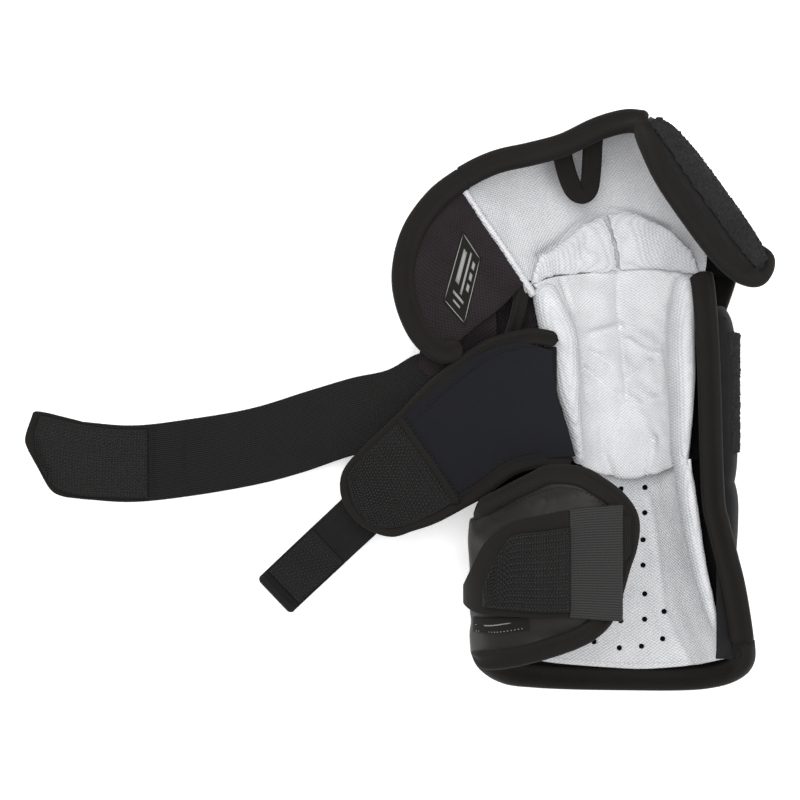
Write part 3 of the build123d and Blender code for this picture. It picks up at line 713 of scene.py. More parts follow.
upperPads = {
    "upperPadLeft": {"rows": [[(-61, 69, 51), (-46, 75, 36), (-26, 77.5, 24), (-5.2, 80, 20)],
                              [(-60, 80, 47), (-47, 85, 33), (-28, 92, 23), (-7.4, 97, 19.5)],
                              [(-57, 89, 42), (-44, 97, 29), (-28, 110, 22), (-13.8, 118, 18)]],
                     "node": "upper_pad_left", "hollow": [[(-34, 84), (-26, 92), (-20, 101)],
                                                          [(-52, 76), (-40, 80), (-26, 80)]]},
    "upperPadRight": {"rows": [[(-5, 80, 20), (12, 81, 21), (28, 79, 32), (41, 74, 51)],
                               [(-7.5, 97, 19.5), (10, 97, 21), (24, 94, 32), (38, 89, 47)],
                               [(-14, 118, 18), (2, 118, 20), (14, 113, 27), (26, 104, 40)]],
                      "node": "upper_pad_right", "hollow": [[(2, 84), (4, 92), (2, 102)]]},
}
for name, pad in upperPads.items():
    table = layNet(pad["rows"], 84, 60)
    table = crown(table, 3.5, 0.3)
    table = press(table, pad["hollow"], 1.2, 5)
    piece = sewPanel(name, rumple(table, 0.8, 16, 41), 4.5)
    fillWithAir(piece, 2.0, 2, 1.2, 10)
    finishPiece(piece, linerKnitPad, "bicep", [pad["node"]])

# raised white rim between the lining and the wing, with a fuzzy cut edge
ridge = [(-105, 131, 51), (-93.5, 113.5, 52), (-76, 88, 52), (-60, 63, 50)]
ridgeRim = sweepAlong("ridgeRim", ridge, 4.6, 6.5, (0, 0, 1), rollProfile, 120, 18)
fibres = rng.normal(size=(len(ridgeRim.data.vertices), 3)) * 0.00016
rimPlaces = np.array([v.co for v in ridgeRim.data.vertices]) + fibres
ridgeRim.data.vertices.foreach_set("co", rimPlaces.ravel())
finishPiece(ridgeRim, linerKnitPad, "bicep")
print("upper lining done")

# seams drawn in thread along the lining
def onTable(table, x, y, lift=0.3):  # height of a surface below a place in plan
    apart = (table[..., 0] - x) ** 2 + (table[..., 1] - y) ** 2
    j, i = np.unravel_index(np.argmin(apart), apart.shape)
    return table[j, i, 2] + lift


def seamOn(table, route, lift=0.3, points=9):
    return [(x, y, onTable(table, x, y, lift)) for x, y in smoothLine(route, points)]


def raised(points, lift):
    return [tuple(p + np.array((0, 0, lift))) for p in points]


liningSeams = {
    "pocketThread": ("elbow", [seamOn(pocketTable, elbowPocket["sideSeams"][0][:3], 0.2),
                               seamOn(pocketTable, elbowPocket["sideSeams"][1], 0.2)]),
    "forearmThread": ("forearm", [raised(liningTable[6:-6:8, -4], 0.25),
                                  raised(liningTable[-4, 8:-8:8], 0.25)]),
    "upperThread": ("bicep", [seamOn(upperTable, bicepLining["fold"][1:], 0.2)]),
}
for name, (body, lines) in liningSeams.items():
    finishPiece(stitchRow(name, lines, 2.6, 2.1, 0.55), whiteThread, body)

# upper-arm wing
wingRidge = {"point": (-69, 78), "out": (-0.8033, -0.5956), "level": 24, "radius": 120, "top": 53}


def wingHeight(x, y):  # level beside the ridge, then drooping outwards
    point, way = wingRidge["point"], wingRidge["out"]
    out = (x - point[0]) * way[0] + (y - point[1]) * way[1]
    over = min(max(out - wingRidge["level"], 0), 110)
    return wingRidge["top"] - wingRidge["radius"] + math.sqrt(wingRidge["radius"] ** 2 - over**2)


bicepWing = {
    "rows": [[(-107, 133), (-93, 112), (-76, 87), (-66, 71)],
             [(-119, 126), (-110, 101), (-94, 74), (-81, 56)],
             [(-131, 112), (-128, 88), (-116, 60), (-100, 41)],
             [(-134, 104), (-138, 80), (-135, 59), (-126, 42), (-112, 30)]],
    "thickness": 7,
}
wingTable = layNet(bicepWing["rows"], 110, 90, wingHeight)
wingTable = crown(wingTable, 1.2, 0.12)
wingTable = rumple(wingTable, 0.8, 40, 51)
wingPanel = sewPanel("bicepWingPanel", wingTable, bicepWing["thickness"])
finishPiece(wingPanel, spacerMesh, "bicep_wing", ["bicep_wing"])


def withHeight(points, height, lift=0.0):
    return [(x, y, height(x, y) + lift) for x, y in points]


wingEdge = [(-104, 33), (-116, 30), (-129, 41), (-137.5, 60), (-139.5, 80), (-133.5, 103), (-119, 123),
            (-101, 136.5)]
wingBinding = sweepAlong("bicepWingBinding", withHeight(wingEdge, wingHeight, -1), 14.5, 12,
                         (0.15, 0.1, 1), steps=120)
finishPiece(wingBinding, bindingKnit, "bicep_wing", ["bicep_wing_binding"])
# cloth that closes the corner between the wing and the elbow
gusset = layNet([[(-52, 70, 41), (-52, 50, 40), (-50, 28, 38)],
                 [(-70, 69, 36), (-72, 48, 34), (-74, 28, 34)],
                 [(-86, 58, 28), (-88, 42, 29), (-90, 26, 30)]], 40, 40)
elbowGusset = sewPanel("elbowGusset", rumple(gusset, 1.2, 30, 53), 2)
finishPiece(elbowGusset, spacerMesh, "elbow")
wingTail = sweepAlong("bicepWingTail", [(-66, 74, 49), (-68, 62, 47), (-70.5, 50, 45), (-74, 38, 43)], 9,
                      8, (0, 0, 1),
                      steps=50, ends=False)
finishPiece(wingTail, bindingKnit, "elbow")

# top binding of the upper arm, from the wing to the flap
topRoute = [(-106, 134, 51), (-93, 141, 52), (-80, 146, 52), (-62, 150, 52), (-42, 155.5, 53),
            (-22, 164.5, 57),
            (-6, 168, 65), (5, 166, 74)]
topBinding = sweepAlong("bicepTopBinding", topRoute, 14.5, 12.5,
                        [(0.1, -0.1, 1), (0, 0, 1), (0, 0.1, 1), (0.2, 0, 1)],
                        steps=110)
finishPiece(topBinding, bindingKnit, "bicep", ["bicep_binding"])

# cover cloth between the pad's shoulder edge and the top binding
facingRow = [tuple(bicepPadTable[-1, i]) for i in (4, 18, 32, 46, 60, 74, 88)]
topRow = [tuple(p) for p in smoothLine(topRoute, 7)]
middleRow = [tuple((np.array(a) + np.array(b)) / 2 + np.array((-1, 4, 0))) for a,
             b in zip(facingRow, topRow)]
shoulderTable = layNet([facingRow, middleRow, topRow], 90, 24)
shoulderFacing = sewPanel("shoulderFacing", rumple(shoulderTable, 0.8, 30, 57), 2.5)
finishPiece(shoulderFacing, coverCloth, "bicep")

# generic woven label: outline and plain bars, no lettering
label = {"corners": [(-104, 103), (-92.5, 86), (-102.5, 45), (-116, 60)], "lift": 1.6}


def labelPoint(u, v, lift):
    a, b, c, d = [np.array(p, float) for p in label["corners"]]
    x, y = a * (1 - u) * (1 - v) + b * u * (1 - v) + c * u * v + d * (1 - u) * v
    return x, y, wingHeight(x, y) + lift


labelTable = np.array([[labelPoint(u, v, label["lift"]) for u in np.linspace(0, 1, 14)]
                       for v in np.linspace(0, 1, 30)])
wingLabel = sewPanel("wingLabel", labelTable, 0.8)
finishPiece(wingLabel, bindingKnit, "bicep_wing", ["wing_label"])
printed = []
frameLine = [(0.06, 0.02), (0.94, 0.03), (0.95, 0.97), (0.05, 0.96), (0.06, 0.02)]
for (u1, v1), (u2, v2) in zip(frameLine, frameLine[1:]):
    line = [labelPoint(u1 + (u2 - u1) * t, v1 + (v2 - v1) * t, label["lift"] + 0.1) for t in (0, 0.5, 1)]
    printed.append(sweepAlong("labelLine", line, 0.5, 0.3, (0, 0, 1), webProfile, 12, 10))
for u1, v1, u2, v2 in ((0.24, 0.16, 0.4, 0.62), (0.52, 0.1, 0.6, 0.7), (0.7, 0.16, 0.82, 0.26),
                       (0.7, 0.32, 0.82, 0.42),
                       (0.7, 0.48, 0.82, 0.58), (0.26, 0.74, 0.74, 0.78), (0.34, 0.84, 0.66, 0.87)):
    bar = [[labelPoint(u, v, label["lift"] + 0.12) for u in np.linspace(u1, u2, 4)]
           for v in np.linspace(v1, v2, 8)]
    printed.append(sewPanel("labelBar", np.array(bar), 0.15))
labelPrint = joinPieces("wingLabelPrint", printed)
finishPiece(labelPrint, transferInk, "bicep_wing")

# pull loop: doubled webbing sewn under the top binding
loopRoute = [(-44, 158, 46), (-41, 146, 40), (-37, 135, 35), (-33, 129, 33), (-28.5, 127.5, 33),
             (-25, 131.5, 33),
             (-24, 142, 38), (-24, 160, 48)]
pullLoop = sweepAlong("pullLoop", loopRoute, 12, 2.6, [(0.4, 0, 1), (0.1, 0, 1), (0, 0.2, 1),
                                                       (-0.2, 0, 1)],
                      webProfile, 90, 20, ends=False)
finishPiece(pullLoop, bindingKnit, "bicep", ["pull_loop"])
print("upper wing done")

# upper-arm flap: curls up and over the arm, loop fleece outside
flap = {
    "root": (22, 163), "along": (0.582, -0.813), "out": (0.813, 0.582),
    "profile": [(-1, 32), (2, 44), (3.5, 58), (1.5, 71), (-3.5, 81), (-11, 87.5), (-19, 90),
                (-25.5, 90.5)],
    # distance along the root, size of the section, and the point it shrinks to
    "stations": [(-16, 0.12, (-8, 62)), (-10, 0.4, (-8, 64)), (2, 0.72, (-6, 66)), (22, 0.95, (-6, 66)),
                 (50, 1.0, (-6, 66)),
                 (72, 0.97, (-6, 80)), (87, 0.84, (-8, 82)), (96, 0.6, (-9, 82)), (101, 0.2, (-9, 81))],
    "thickness": 7.5,
}


def flapRow(station, first=0, last=1):
    far, size, (s0, z0) = station
    row = []
    for s, z in smoothLine(flap["profile"], 13):
        s, z = s0 + (s - s0) * size, z0 + (z - z0) * size
        row.append((flap["root"][0] + flap["along"][0] * far + flap["out"][0] * s,
                    flap["root"][1] + flap["along"][1] * far + flap["out"][1] * s, z))
    row = smoothLine(row, 41)
    return row[int(first * 40):int(last * 40) + 1]


flapTable = layNet([flapRow(s) for s in flap["stations"]], 56, 80)
flapPad = sewPanel("bicepFlap", flapTable, flap["thickness"], 1)
fillWithAir(flapPad, 3, 3, 1.5, 10)
finishPiece(flapPad, coverCloth, "bicep_flap", ["bicep_flap"])
fleeceTable = layNet([flapRow(s, 0.12, 0.86) for s in flap["stations"][1:-1]], 90, 120)
fleeceTable = fuzz(raiseBy(fleeceTable, 1.6), 0.35, 61)
flapFleece = sewPanel("flapLoopFleece", fleeceTable, 1.6)
finishPiece(flapFleece, loopFleece, "bicep_flap", ["flap_loop_patch"])
flapRows = [flapRow(s) for s in flap["stations"]]
flapEdge = [(4, 168, 74)] + raised([row[-1] for row in flapRows[1:]], -1.5)
flapEdge += [tuple(flapRows[-2][16] + np.array((1, 0, -2))), tuple(flapRows[-3][8])]
flapBinding = sweepAlong("flapBinding", flapEdge, [13] * 5 + [12, 8], [12] * 5 + [10, 7], (0, 0, 1),
                         steps=140)
finishPiece(flapBinding, bindingKnit, "bicep_flap", ["flap_binding"])
print("flap done")

# sling: neoprene panel with a hook tab
def slingHeight(x, y):  # level over the elbow, bent down, then a straight slope
    top, radius, slope = 61.5, 90, math.radians(18)
    over = max(-44 - x, 0)
    bend = radius * math.sin(slope)
    if over < bend:
        return top - radius + math.sqrt(radius**2 - over**2)
    return top - radius * (1 - math.cos(slope)) - (over - bend) * math.tan(slope)


sling = {
    "panel": [[(-50, 30), (-48, 8), (-41, -16), (-36, -34)],
              [(-72, 35), (-68, 10), (-64, -16), (-66, -38)],
              [(-96, 27), (-92, 2), (-84, -26), (-86, -50)],
              [(-120, 9), (-112, -12), (-104, -34), (-101, -58)],
              [(-142, -12), (-132, -26), (-122, -40), (-107, -62)]],
    "tab": [[(-142, -12), (-132, -26), (-122, -40), (-107, -62)],
            [(-154, -23), (-145, -38), (-136, -54), (-124, -72)],
            [(-164, -33), (-157, -47), (-150, -62), (-142, -79)],
            [(-172, -42), (-168, -54), (-164, -66), (-157, -79)],
            [(-175.5, -50), (-174.5, -58), (-171.5, -66), (-166, -73)]],
    "thickness": 4,
}
slingTable = layNet(sling["panel"], 80, 110, slingHeight)
slingTable = rumple(slingTable, 0.7, 45, 71)
slingPanel = sewPanel("slingPanel", slingTable, sling["thickness"])
finishPiece(slingPanel, neopreneJersey, "sling", ["sling_panel"])
tabTable = layNet(sling["tab"], 60, 50, slingHeight)
slingTab = sewPanel("slingHookTab", raiseBy(tabTable, 0.6), 4.2, 1)
finishPiece(slingTab, hookTape, "sling", ["sling_hook_tab"])
tabHooks = hookField("slingTabHooks", raiseBy(tabTable, 0.7)[2:-2, 2:-2], hookPitch, hookSize)
finishPiece(tabHooks, hookNylon, "sling")

slingTop = [(-46, 36), (-60, 38.5), (-74, 36.5), (-88, 32), (-101, 23.5), (-121, 7.5), (-142, -14),
            (-164, -35), (-173, -46),
            (-174.5, -56), (-171, -66), (-162, -75), (-148, -80), (-136, -76.5), (-121, -71), (-103, -61),
            (-93, -55),
            (-74, -41), (-56, -36), (-38, -37)]
slingBinding = sweepAlong("slingBinding", withHeight(slingTop, slingHeight, -1.8), 10, 7, (-0.2, 0, 1),
                          steps=220, ring=24)
finishPiece(slingBinding, bindingKnit, "sling", ["sling_binding"])
boundary = [(-143, -10), (-132, -26), (-122, -40), (-106, -64)]
tabSeam = sweepAlong("tabSeamRidge", withHeight(boundary, slingHeight, 1.0), 5, 2.6, (-0.3, 0, 1),
                     rollProfile, 60, 16)
finishPiece(tabSeam, bindingKnit, "sling")


def offsetLine(points, amount):  # the same line moved sideways in plan
    line = smoothLine(points, 60)
    along = np.gradient(line, axis=0)
    along /= np.linalg.norm(along, axis=1, keepdims=True)
    return line + np.column_stack([-along[:, 1], along[:, 0]]) * amount


zigzagTop = withHeight(offsetLine(slingTop[1:7], 5.5), slingHeight, 0.5)
zigzagBottom = withHeight(offsetLine(slingTop[14:-1], 5.5), slingHeight, 0.5)
slingStitches = stitchRow("slingStitches", [zigzagTop, zigzagBottom], 1.7, 2.3, 0.55, 0, slant=0.9)
finishPiece(slingStitches, blackThread, "sling")
tabStitches = stitchRow("tabStitches",
                        [withHeight(offsetLine(boundary, w), slingHeight, 1.4) for w in (-2.6, 2.6)],
                        2.6, 2.0, 0.7)
finishPiece(tabStitches, blackThread, "sling")
curl = [(-146, -73, 27.5), (-143, -75, 28.4), (-141, -73.5, 28.6), (-142.5, -71.5, 28.4),
        (-145, -72, 28.3), (-144.5, -69.5, 28.8),
        (-141.5, -68.5, 29.2), (-138.5, -69, 29.8)]
looseThread = sweepAlong("looseThread", curl, 0.7, 0.7, (0, 0, 1), rollProfile, 60, 8)
finishPiece(looseThread, whiteThread, "sling")
print("sling done")

# keeper strap hanging from the sling's tab
keeper = {"start": (-158, -64), "way": (-0.7254, -0.6884), "side": (0.6884, -0.7254), "half": 15.5,
          "profile": [(-2, 17), (8, 16.6), (20, 13.4), (36, 9.4), (52, 6.4), (70, 3.6), (87, 2.2)],
          "thickness": 2.4}


def keeperPoint(far, across, z):
    return (keeper["start"][0] + keeper["way"][0] * far + keeper["side"][0] * across,
            keeper["start"][1] + keeper["way"][1] * far + keeper["side"][1] * across, z)


keeperRows = [[keeperPoint(f, a, z) for a in (-keeper["half"], 0, keeper["half"])] for f,
              z in keeper["profile"]]
keeperTable = layNet(keeperRows, 30, 80)
keeperTable = rumple(keeperTable, 0.4, 30, 81)
keeperStrap = sewPanel("keeperStrap", keeperTable, keeper["thickness"], 1)
finishPiece(keeperStrap, elasticWeb, bend=("sling", "keeper", keeperPoint(16, 0, 14),
                                                          keeperPoint(24, 0, 12)),
            nodes=["keeper_strap", "keeper_strap_root"])
patchTable = raiseBy(keeperTable[38:74, 1:-1], 1.3)
keeperHook = sewPanel("keeperHook", patchTable, 1.2)
finishPiece(keeperHook, hookTape, "keeper", ["keeper_strap_hook"])
keeperHooks = hookField("keeperHooks", raiseBy(patchTable[1:-1, 1:-1], 0.1), (2.4, 2.0), hookSize)
finishPiece(keeperHooks, hookNylon, "keeper")
keeperEnd = [keeperPoint(86, a, 3.4) for a in (-15.6, 0, 15.6)]
keeperFold = sweepAlong("keeperFold", keeperEnd, 5, 3.6, (0, 0, 1), rollProfile, 30, 14)
finishPiece(keeperFold, elasticWeb, "keeper")
keeperLines = [raised(patchTable[j, 2:-2:5], 0.3) for j in (1, -2)]
keeperLines += [raised(patchTable[2:-2:6, i], 0.3) for i in (1, -2)]
keeperStitches = stitchRow("keeperStitches", keeperLines, 2.6, 2.0, 0.6)
finishPiece(keeperStitches, blackThread, "keeper")
print("keeper done")

# upper-arm strap
armStrap = {
    "rows": [[(-112, 30, 34), (-112, 8, 34), (-112, -16, 33)],
             [(-131, 29, 27), (-131, 6, 27), (-131, -19, 26)],
             [(-150, 19, 21), (-151, -4, 21), (-152, -30, 20)],
             [(-173, 14, 14.5), (-174, -10, 14.5), (-175, -36, 13.5)],
             [(-200, 6, 9), (-202, -18, 9), (-204, -46, 8.5)],
             [(-236, -5, 4.6), (-236, -29, 4.8), (-234, -54, 4.4)],
             [(-276, -12, 3.2), (-276, -36, 3.6), (-274, -61, 3)],
             [(-312, -16, 3), (-312, -40, 3.4), (-312, -65, 3)],
             [(-346, -13.5, 3.2), (-348, -38, 3.4), (-346, -63, 3.2)]],
    "tab": [[(-344, -13.5, 3.4), (-346, -38, 3.6), (-344, -63, 3.4)],
            [(-356, -10.5, 3.6), (-358, -36, 4), (-356, -61.5, 3.6)],
            [(-366, -8, 4), (-369, -34, 4.4), (-364, -57, 4)],
            [(-373, -7, 4.4), (-377, -25, 4.8), (-372, -43, 4.4)],
            [(-375, -8, 4.6), (-380, -24, 5), (-378, -32, 4.8)]],
    "thickness": 2.5,
}
strapTable = layNet(armStrap["rows"], 44, 240)
strapTable = rumple(strapTable, 0.5, 60, 91)
armStrapPiece = sewPanel("bicepStrap", strapTable, armStrap["thickness"], 1)
finishPiece(armStrapPiece, elasticWeb, bend=("bicep_wing", "bicep_strap", (-188, -16, 11),
                                                            (-208, -22, 11)),
            nodes=["bicep_strap", "bicep_strap_root"])
# the strap's root is sewn up onto the underside of the wing
rootPlaces = [[(-124, 62), (-106, 60), (-84, 60)], [(-127, 49), (-108, 45), (-83, 44)]]
rootRows = [withHeight(row, wingHeight, 0.5 - bicepWing["thickness"]) for row in rootPlaces]
rootRows += [[(-129, 36, 33.5), (-110, 29, 36), (-84, 28, 38)],
             [(-131, 20, 27.5), (-121, 12, 30.6), (-112, 4, 33.8)]]
strapRoot = sewPanel("bicepStrapRoot", layNet(rootRows, 40, 60), 1.5)
finishPiece(strapRoot, spacerMesh, "bicep_wing")
strapTabTable = layNet(armStrap["tab"], 44, 36)
strapTab = sewPanel("bicepStrapTab", strapTabTable, 3, 1)
finishPiece(strapTab, bindingKnit, "bicep_strap", ["bicep_strap_tab"])
hookRows = [[(-302, -18.5, 4.4), (-302, -40, 4.7), (-302, -62.5, 4.4)],
            [(-325, -18, 4.4), (-325, -40, 4.8), (-325, -62, 4.4)],
            [(-348, -14.5, 4.8), (-349, -38, 5.2), (-347, -60.5, 4.8)],
            [(-365, -10.5, 5.4), (-367, -32, 5.8), (-361, -55, 5.4)],
            [(-371, -10, 5.6), (-374, -24, 6), (-370, -42, 5.6)]]
strapHookTable = layNet(hookRows, 44, 70)
strapHook = sewPanel("bicepStrapHook", strapHookTable, 1.4)
finishPiece(strapHook, hookTape, "bicep_strap", ["bicep_strap_hook"])
strapHooks = hookField("bicepStrapHooks", strapHookTable[1:-1, 1:-1], hookPitch, hookSize)
finishPiece(strapHooks, hookNylon, "bicep_strap")


def gridEdge(table, lift=0.2, step=6, inset=1):
    ring = [table[inset, inset:-inset:step], table[inset:-inset:step, -1 - inset],
            table[-1 - inset, inset:-inset:step][::-1], table[inset:-inset:step, inset][::-1]]
    return [raised(side, lift) for side in ring]


boxLines = [[(-278, -15, 3.6), (-279, -36, 4), (-277, -58, 3.6)],
            [(-298, -18, 3.6), (-298, -40, 4), (-298, -61, 3.6)]]
strapStitches = stitchRow("bicepStrapStitches", boxLines + gridEdge(strapHookTable, 0.3), 2.8, 2.2, 0.7)
finishPiece(strapStitches, blackThread, "bicep_strap")
print("upper strap done")

# forearm wing: padded, curled over the forearm
curlShape = {"first": (-58.7, 46.5), "firstRadius": 40, "second": (-13.7, -31.5), "secondRadius": 130,
             "turns": (194, 120, 85)}


def curlPoint(far, lift):  # place on the curl's outer face, measured along it from the root
    first = math.radians(curlShape["turns"][0] - curlShape["turns"][1]) * curlShape["firstRadius"]
    if far < first:
        centre, radius = curlShape["first"], curlShape["firstRadius"]
        angle = math.radians(curlShape["turns"][0]) - far / radius
    else:
        centre, radius = curlShape["second"], curlShape["secondRadius"]
        angle = math.radians(curlShape["turns"][1]) - (far - first) / radius
    return centre[0] + (radius + lift) * math.cos(angle), centre[1] + (radius + lift) * math.sin(angle)


def curlHeight(x, y, lift=0.0):
    if x < -78.7 - 0.5 * lift:
        reach = (curlShape["firstRadius"] + lift) ** 2 - (x - curlShape["first"][0]) ** 2
        return curlShape["first"][1] + math.sqrt(max(reach, 0))
    reach = (curlShape["secondRadius"] + lift) ** 2 - (x - curlShape["second"][0]) ** 2
    return curlShape["second"][1] + math.sqrt(max(reach, 0))


forearmWing = {
    "topEdge": [(-99, -72), (-92, -64), (-84, -59), (-66, -48), (-52, -44), (-36, -46), (-24, -53),
                (-14, -61), (-9, -72)],
    "bottomEdge": [(-99, -156), (-84, -157), (-70, -152), (-46, -144), (-32, -137), (-23, -128),
                   (-15, -110), (-9, -90)],
    "length": 123, "thickness": 8,
}
wingColumns, wingRows = 100, 90
forearmWingTable = np.zeros((wingRows, wingColumns, 3))
for i, far in enumerate(np.linspace(0, forearmWing["length"], wingColumns)):
    x, z = curlPoint(far, 0)
    top = np.interp(x, *zip(*forearmWing["topEdge"]))
    bottom = np.interp(x, *zip(*forearmWing["bottomEdge"]))
    for j, share in enumerate(np.linspace(0, 1, wingRows)):
        forearmWingTable[j, i] = (x, top + (bottom - top) * share, z)
forearmWingTable = press(forearmWingTable, [[(-90, -72), (-70, -64), (-50, -58), (-30, -56), (-16, -62)]],
                         1.8, 3.5)
forearmWingTable = press(forearmWingTable, [[(-92, -84), (-74, -74), (-52, -68), (-30, -63)]], -1.6, 5)
forearmWingTable = press(forearmWingTable,
                         [[(-98, -136), (-80, -140), (-60, -140), (-40, -136), (-20, -128)]], 1.2, 3)
forearmWingPad = sewPanel("forearmWingPad", rumple(forearmWingTable, 1.2, 34, 101),
                          forearmWing["thickness"], 1)
fillWithAir(forearmWingPad, 2.8, 3, 1.2, 10)
finishPiece(forearmWingPad, coatedLeather,
            bend=("forearm", "forearm_wing", (-96, -110, 30), (-96, -110, 46)), nodes=["forearm_wing"])

wingRim = [(-97, -72), (-92, -65), (-84, -60), (-66, -50), (-53, -44), (-37, -45), (-27, -50), (-15, -59),
           (-8, -70), (-8.5, -84), (-13, -98),
           (-17, -112), (-21, -124), (-27, -132), (-36, -138.5), (-50, -144.5), (-66, -150),
           (-82, -154.5), (-92, -156), (-97.5, -154)]
wingRimBinding = sweepAlong("forearmWingBinding", withHeight(wingRim, curlHeight, -2.5),
                            [4] + [12] * 18 + [4], [4] + [10.5] * 18 + [4],
                            [(-1, 0, 0.4), (-0.4, 0, 1), (0, 0, 1), (0, 0, 1), (0, 0, 1), (-0.2, 0, 1),
                             (-0.4, 0, 1), (-1, 0, 0.4)],
                            steps=220)
finishPiece(wingRimBinding, bindingKnit, "forearm_wing", ["forearm_wing_binding"])
rimSeam = [(-80, -65), (-64, -56), (-50, -51.5), (-38, -52.5), (-28, -57), (-19, -65)]
rimStitches = stitchRow("forearmWingStitches", [withHeight(rimSeam, curlHeight, 0.8)], 2.8, 2.2, 0.6)
finishPiece(rimStitches, blackThread, "forearm_wing")


def curlPatch(left, right, near, far, lift, count=(40, 40)):  # cloth on the curl between two edges
    table = np.zeros((count[1], count[0], 3))
    near, far = smoothLine(near, 60), smoothLine(far, 60)
    for i, x in enumerate(np.linspace(left, right, count[0])):
        top, bottom = np.interp(x, near[:, 0], near[:, 1]), np.interp(x, far[:, 0], far[:, 1])
        for j, share in enumerate(np.linspace(0, 1, count[1])):
            y = top + (bottom - top) * share
            table[j, i] = (x, y, curlHeight(x, y, lift))
    return table


bandTable = curlPatch(-98, -66, [(-98, -131), (-66, -128)], [(-98, -140), (-66, -136)], 1.4)
printBand = sewPanel("forearmWingBand", bandTable, 0.8)
finishPiece(printBand, bindingKnit, "forearm_wing", ["forearm_wing_stripe"])
lineRoute = [(x, y, curlHeight(x, y, 1.6)) for x, y in ((-97, -135.5), (-88, -134.6), (-76, -132))]
dotRoute = [(x, y, curlHeight(x, y, 1.7)) for x, y in ((-96, -139), (-84, -138), (-70, -135))]
bandLines = [sweepAlong("bandLine", lineRoute, 0.7, 0.3, (0, 0, 1), webProfile, 20, 8),
             stitchRow("bandDots", [dotRoute], 2.2, 1.1, 0.7)]
bandPrint = joinPieces("forearmWingBandPrint", bandLines)
finishPiece(bandPrint, transferInk, "forearm_wing")
anchorTable = curlPatch(-18, -7, [(-18, -66), (-7, -68)], [(-18, -102), (-7, -90)], 2.6)
strapAnchor = sewPanel("forearmStrapAnchor", anchorTable, 1.2)
finishPiece(strapAnchor, elasticWeb, "forearm_wing", ["forearm_strap_anchor"])

# forearm strap folded back over the wing, with its hook patch up
strapEdgeNear = [(-105, -120), (-104, -114), (-101, -105), (-93, -87), (-85, -78), (-76, -72), (-57, -67),
                 (-37, -63), (-14, -61)]
strapEdgeFar = [(-105, -120.5), (-104, -123.5), (-100, -126.5), (-92, -128), (-60, -128), (-44, -127.5),
                (-14, -129)]
forearmStrapTable = curlPatch(-104, -14, strapEdgeNear, strapEdgeFar, 5.2, (90, 60))
fold = []
for dx, dz in ((1.6, -0.7), (2.2, -2.2), (1.4, -3.8), (-1, -4.4), (-8, -4.0)):
    column = forearmStrapTable[:, -1] + np.array((dx, 0, dz))
    fold.append(column[:, None, :])
forearmStrapTable = np.concatenate([forearmStrapTable] + fold, axis=1)
elasticStart = 60
clothEnd = sewPanel("forearmStrapEnd", forearmStrapTable[:, :elasticStart + 1], 2.2, 1)
finishPiece(clothEnd, bindingKnit, "forearm_strap")
elasticTable = np.transpose(forearmStrapTable[:, elasticStart:], (1, 0, 2))
elasticEnd = sewPanel("forearmStrapElastic", elasticTable, 2.2, 1)
# the strap's elastic takes the paler copy of the webbing, a painted highlight on its ribs
finishPiece(elasticEnd, elasticPaintedHighlight, "forearm_strap", ["forearm_strap"])
hookNear = [(-94, -118), (-88, -100), (-82, -88), (-76, -80), (-60, -77), (-43, -74)]
hookFar = [(-94, -123), (-76, -124), (-60, -124.5), (-43, -124)]
forearmHookTable = curlPatch(-93, -43, hookNear, hookFar, 6.8, (60, 50))
forearmHook = sewPanel("forearmStrapHook", forearmHookTable, 1.3)
finishPiece(forearmHook, hookTape, "forearm_strap", ["forearm_strap_hook"])
forearmHooks = hookField("forearmStrapHooks", forearmHookTable[1:-1, 1:-1], hookPitch, hookSize)
finishPiece(forearmHooks, hookNylon, "forearm_strap")
forearmStitches = stitchRow("forearmStrapStitches", gridEdge(forearmHookTable, 0.4), 2.6, 2.1, 0.7)
finishPiece(forearmStitches, blackThread, "forearm_strap")
print("forearm wing and strap done")

# bindings and sides of the forearm
endRoute = [(-93, -148, 52), (-88, -160, 44), (-76, -169, 32), (-60, -172.5, 23), (-34, -175, 15),
            (0, -176, 12), (32, -176, 13),
            (50, -173, 24), (62, -167, 38), (67, -158, 51), (65.5, -144, 58)]
endBinding = sweepAlong("forearmEndBinding", endRoute, 14, 13,
                        [(0.6, 0, 0.8), (0.5, 0.1, 0.9), (0.2, 0.1, 1), (0, 0.1, 1), (-0.3, 0.1, 0.9),
                         (-0.5, 0, 0.8)], steps=200)
finishPiece(endBinding, bindingKnit, "forearm", ["forearm_end_binding"])
sideRoute = [(66, -148, 57), (63.5, -132, 59), (60, -112, 59), (55.5, -94, 59), (51, -76, 59),
             (48, -62, 59),
             (46.5, -30, 59), (45.5, 8, 59), (44, 41, 59), (42, 66, 59), (40, 78, 58)]
sideBinding = sweepAlong("sideBinding", sideRoute, 14, 12.5, (-0.15, 0, 1), steps=220)
finishPiece(sideBinding, bindingKnit, bend=("forearm", "elbow", (50, -64, 59),
                                                            (50, -40, 59)),
            nodes=["forearm_side_binding", "elbow_side_binding"])

sidePadTable = layNet([[(50, y, 54), (57 + lean, y, 52), (62 + lean, y, 44), (63 + lean, y, 36),
                        (60 + lean, y, 29)]
                       for y, lean in ((-158, 5), (-130, 3), (-100, 0.5), (-78, 1.5), (-60, 1.5),
                                       (-44, -1.5))], 40, 60)
sidePad = sewPanel("forearmSidePad", crown(sidePadTable, 1.6, 0.2), 3, 1)
finishPiece(sidePad, coverCloth, "forearm", ["forearm_side_pad"])
wallRightTable = layNet([[(48, y, 55), (56 + lean, y, 53), (61 + lean, y, 46), (62.5 + lean, y, 38),
                          (59 + lean, y, 28)]
                         for y, lean in ((58, -6), (46, -1), (20, 2), (-16, 2), (-36, 1.8), (-52, 0.5))],
                        40, 90)
wallRight = sewPanel("elbowWallRight", crown(wallRightTable, 1.2, 0.12), 5, 1)
finishPiece(wallRight, coverCloth, "elbow", ["elbow_wall_right"])
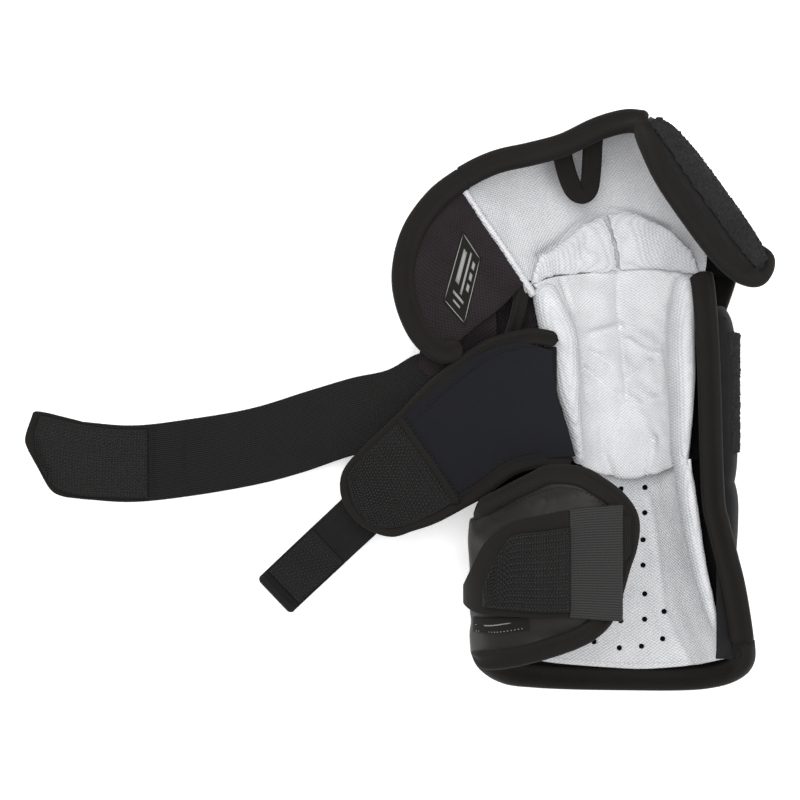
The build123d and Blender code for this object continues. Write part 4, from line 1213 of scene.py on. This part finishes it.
wallLeftTable = layNet([[(-46, y, 53), (-54, y, 54), (-59, y, 50), (-60.5, y, 42),
                         (-57, y, 30)] for y in (33, 15, -8, -34)], 34, 60)
wallLeft = sewPanel("elbowWallLeft", crown(wallLeftTable, 1.0, 0.12), 5, 1)
finishPiece(wallLeft, coverCloth, "elbow", ["elbow_wall_left"])
stripTable = layNet([[(58, y, 53.5), (63.5, y, 51), (66.5, y, 44), (66.5, y, 36)] for y in (41, 5, -32)],
                    30, 90)
stripTable = fuzz(stripTable, 0.35, 111)
loopStrip = sewPanel("elbowLoopStrip", stripTable, 2)
finishPiece(loopStrip, loopFleece, "elbow", ["elbow_loop_patch"])
print("forearm sides done")

# floor, lights and camera
clearSelection()
bpy.ops.mesh.primitive_plane_add(size=6, location=(0, 0, -0.0005))
floor = bpy.context.object
floor.name = "floor"
floorMaterial, _, _ = startMaterial("paleSweep", {"Base Color": hexColour("#fbfbfb"), "Roughness": 0.9,
                                                  "Emission Color": (1, 1, 1, 1),
                                                  "Emission Strength": 0.4})
floor.data.materials.append(floorMaterial)
world = bpy.data.worlds.new("studio")
bpy.context.scene.world = world
world.use_nodes = True
world.node_tree.nodes["Background"].inputs["Color"].default_value = (1, 1, 1, 1)
lightPath = addNode(world.node_tree, "ShaderNodeLightPath")
strength = addNode(world.node_tree, "ShaderNodeMapRange", {"To Min": 0.55, "To Max": 1.1},
                   {"Value": lightPath.outputs["Is Camera Ray"]})
world.node_tree.links.new(strength.outputs[0], world.node_tree.nodes["Background"].inputs["Strength"])
bpy.context.scene.view_settings.view_transform = "Standard"
lamps = {"keyLight": {"place": (-0.5, 0.9, 1.1), "size": 0.6, "power": 6},
         "fillLight": {"place": (0.9, -0.5, 1.1), "size": 1.0, "power": 6},
         "topLight": {"place": (-0.1, 0.2, 1.7), "size": 1.2, "power": 17}}
for name, lamp in lamps.items():
    clearSelection()
    bpy.ops.object.light_add(type="AREA", location=lamp["place"])
    light = bpy.context.object
    light.name = name
    light.data.size, light.data.energy = lamp["size"], lamp["power"]
    light.rotation_euler = (-light.location).to_track_quat("-Z", "Y").to_euler()
clearSelection()
view = {"place": (-0.142, 0, 1.2), "turn": (0, 0, 0), "lens": 84.8, "sensor": 36}
bpy.ops.object.camera_add(location=view["place"], rotation=view["turn"])
camera = bpy.context.object
camera.data.lens = view["lens"]
camera.data.sensor_width = view["sensor"]
bpy.context.scene.camera = camera
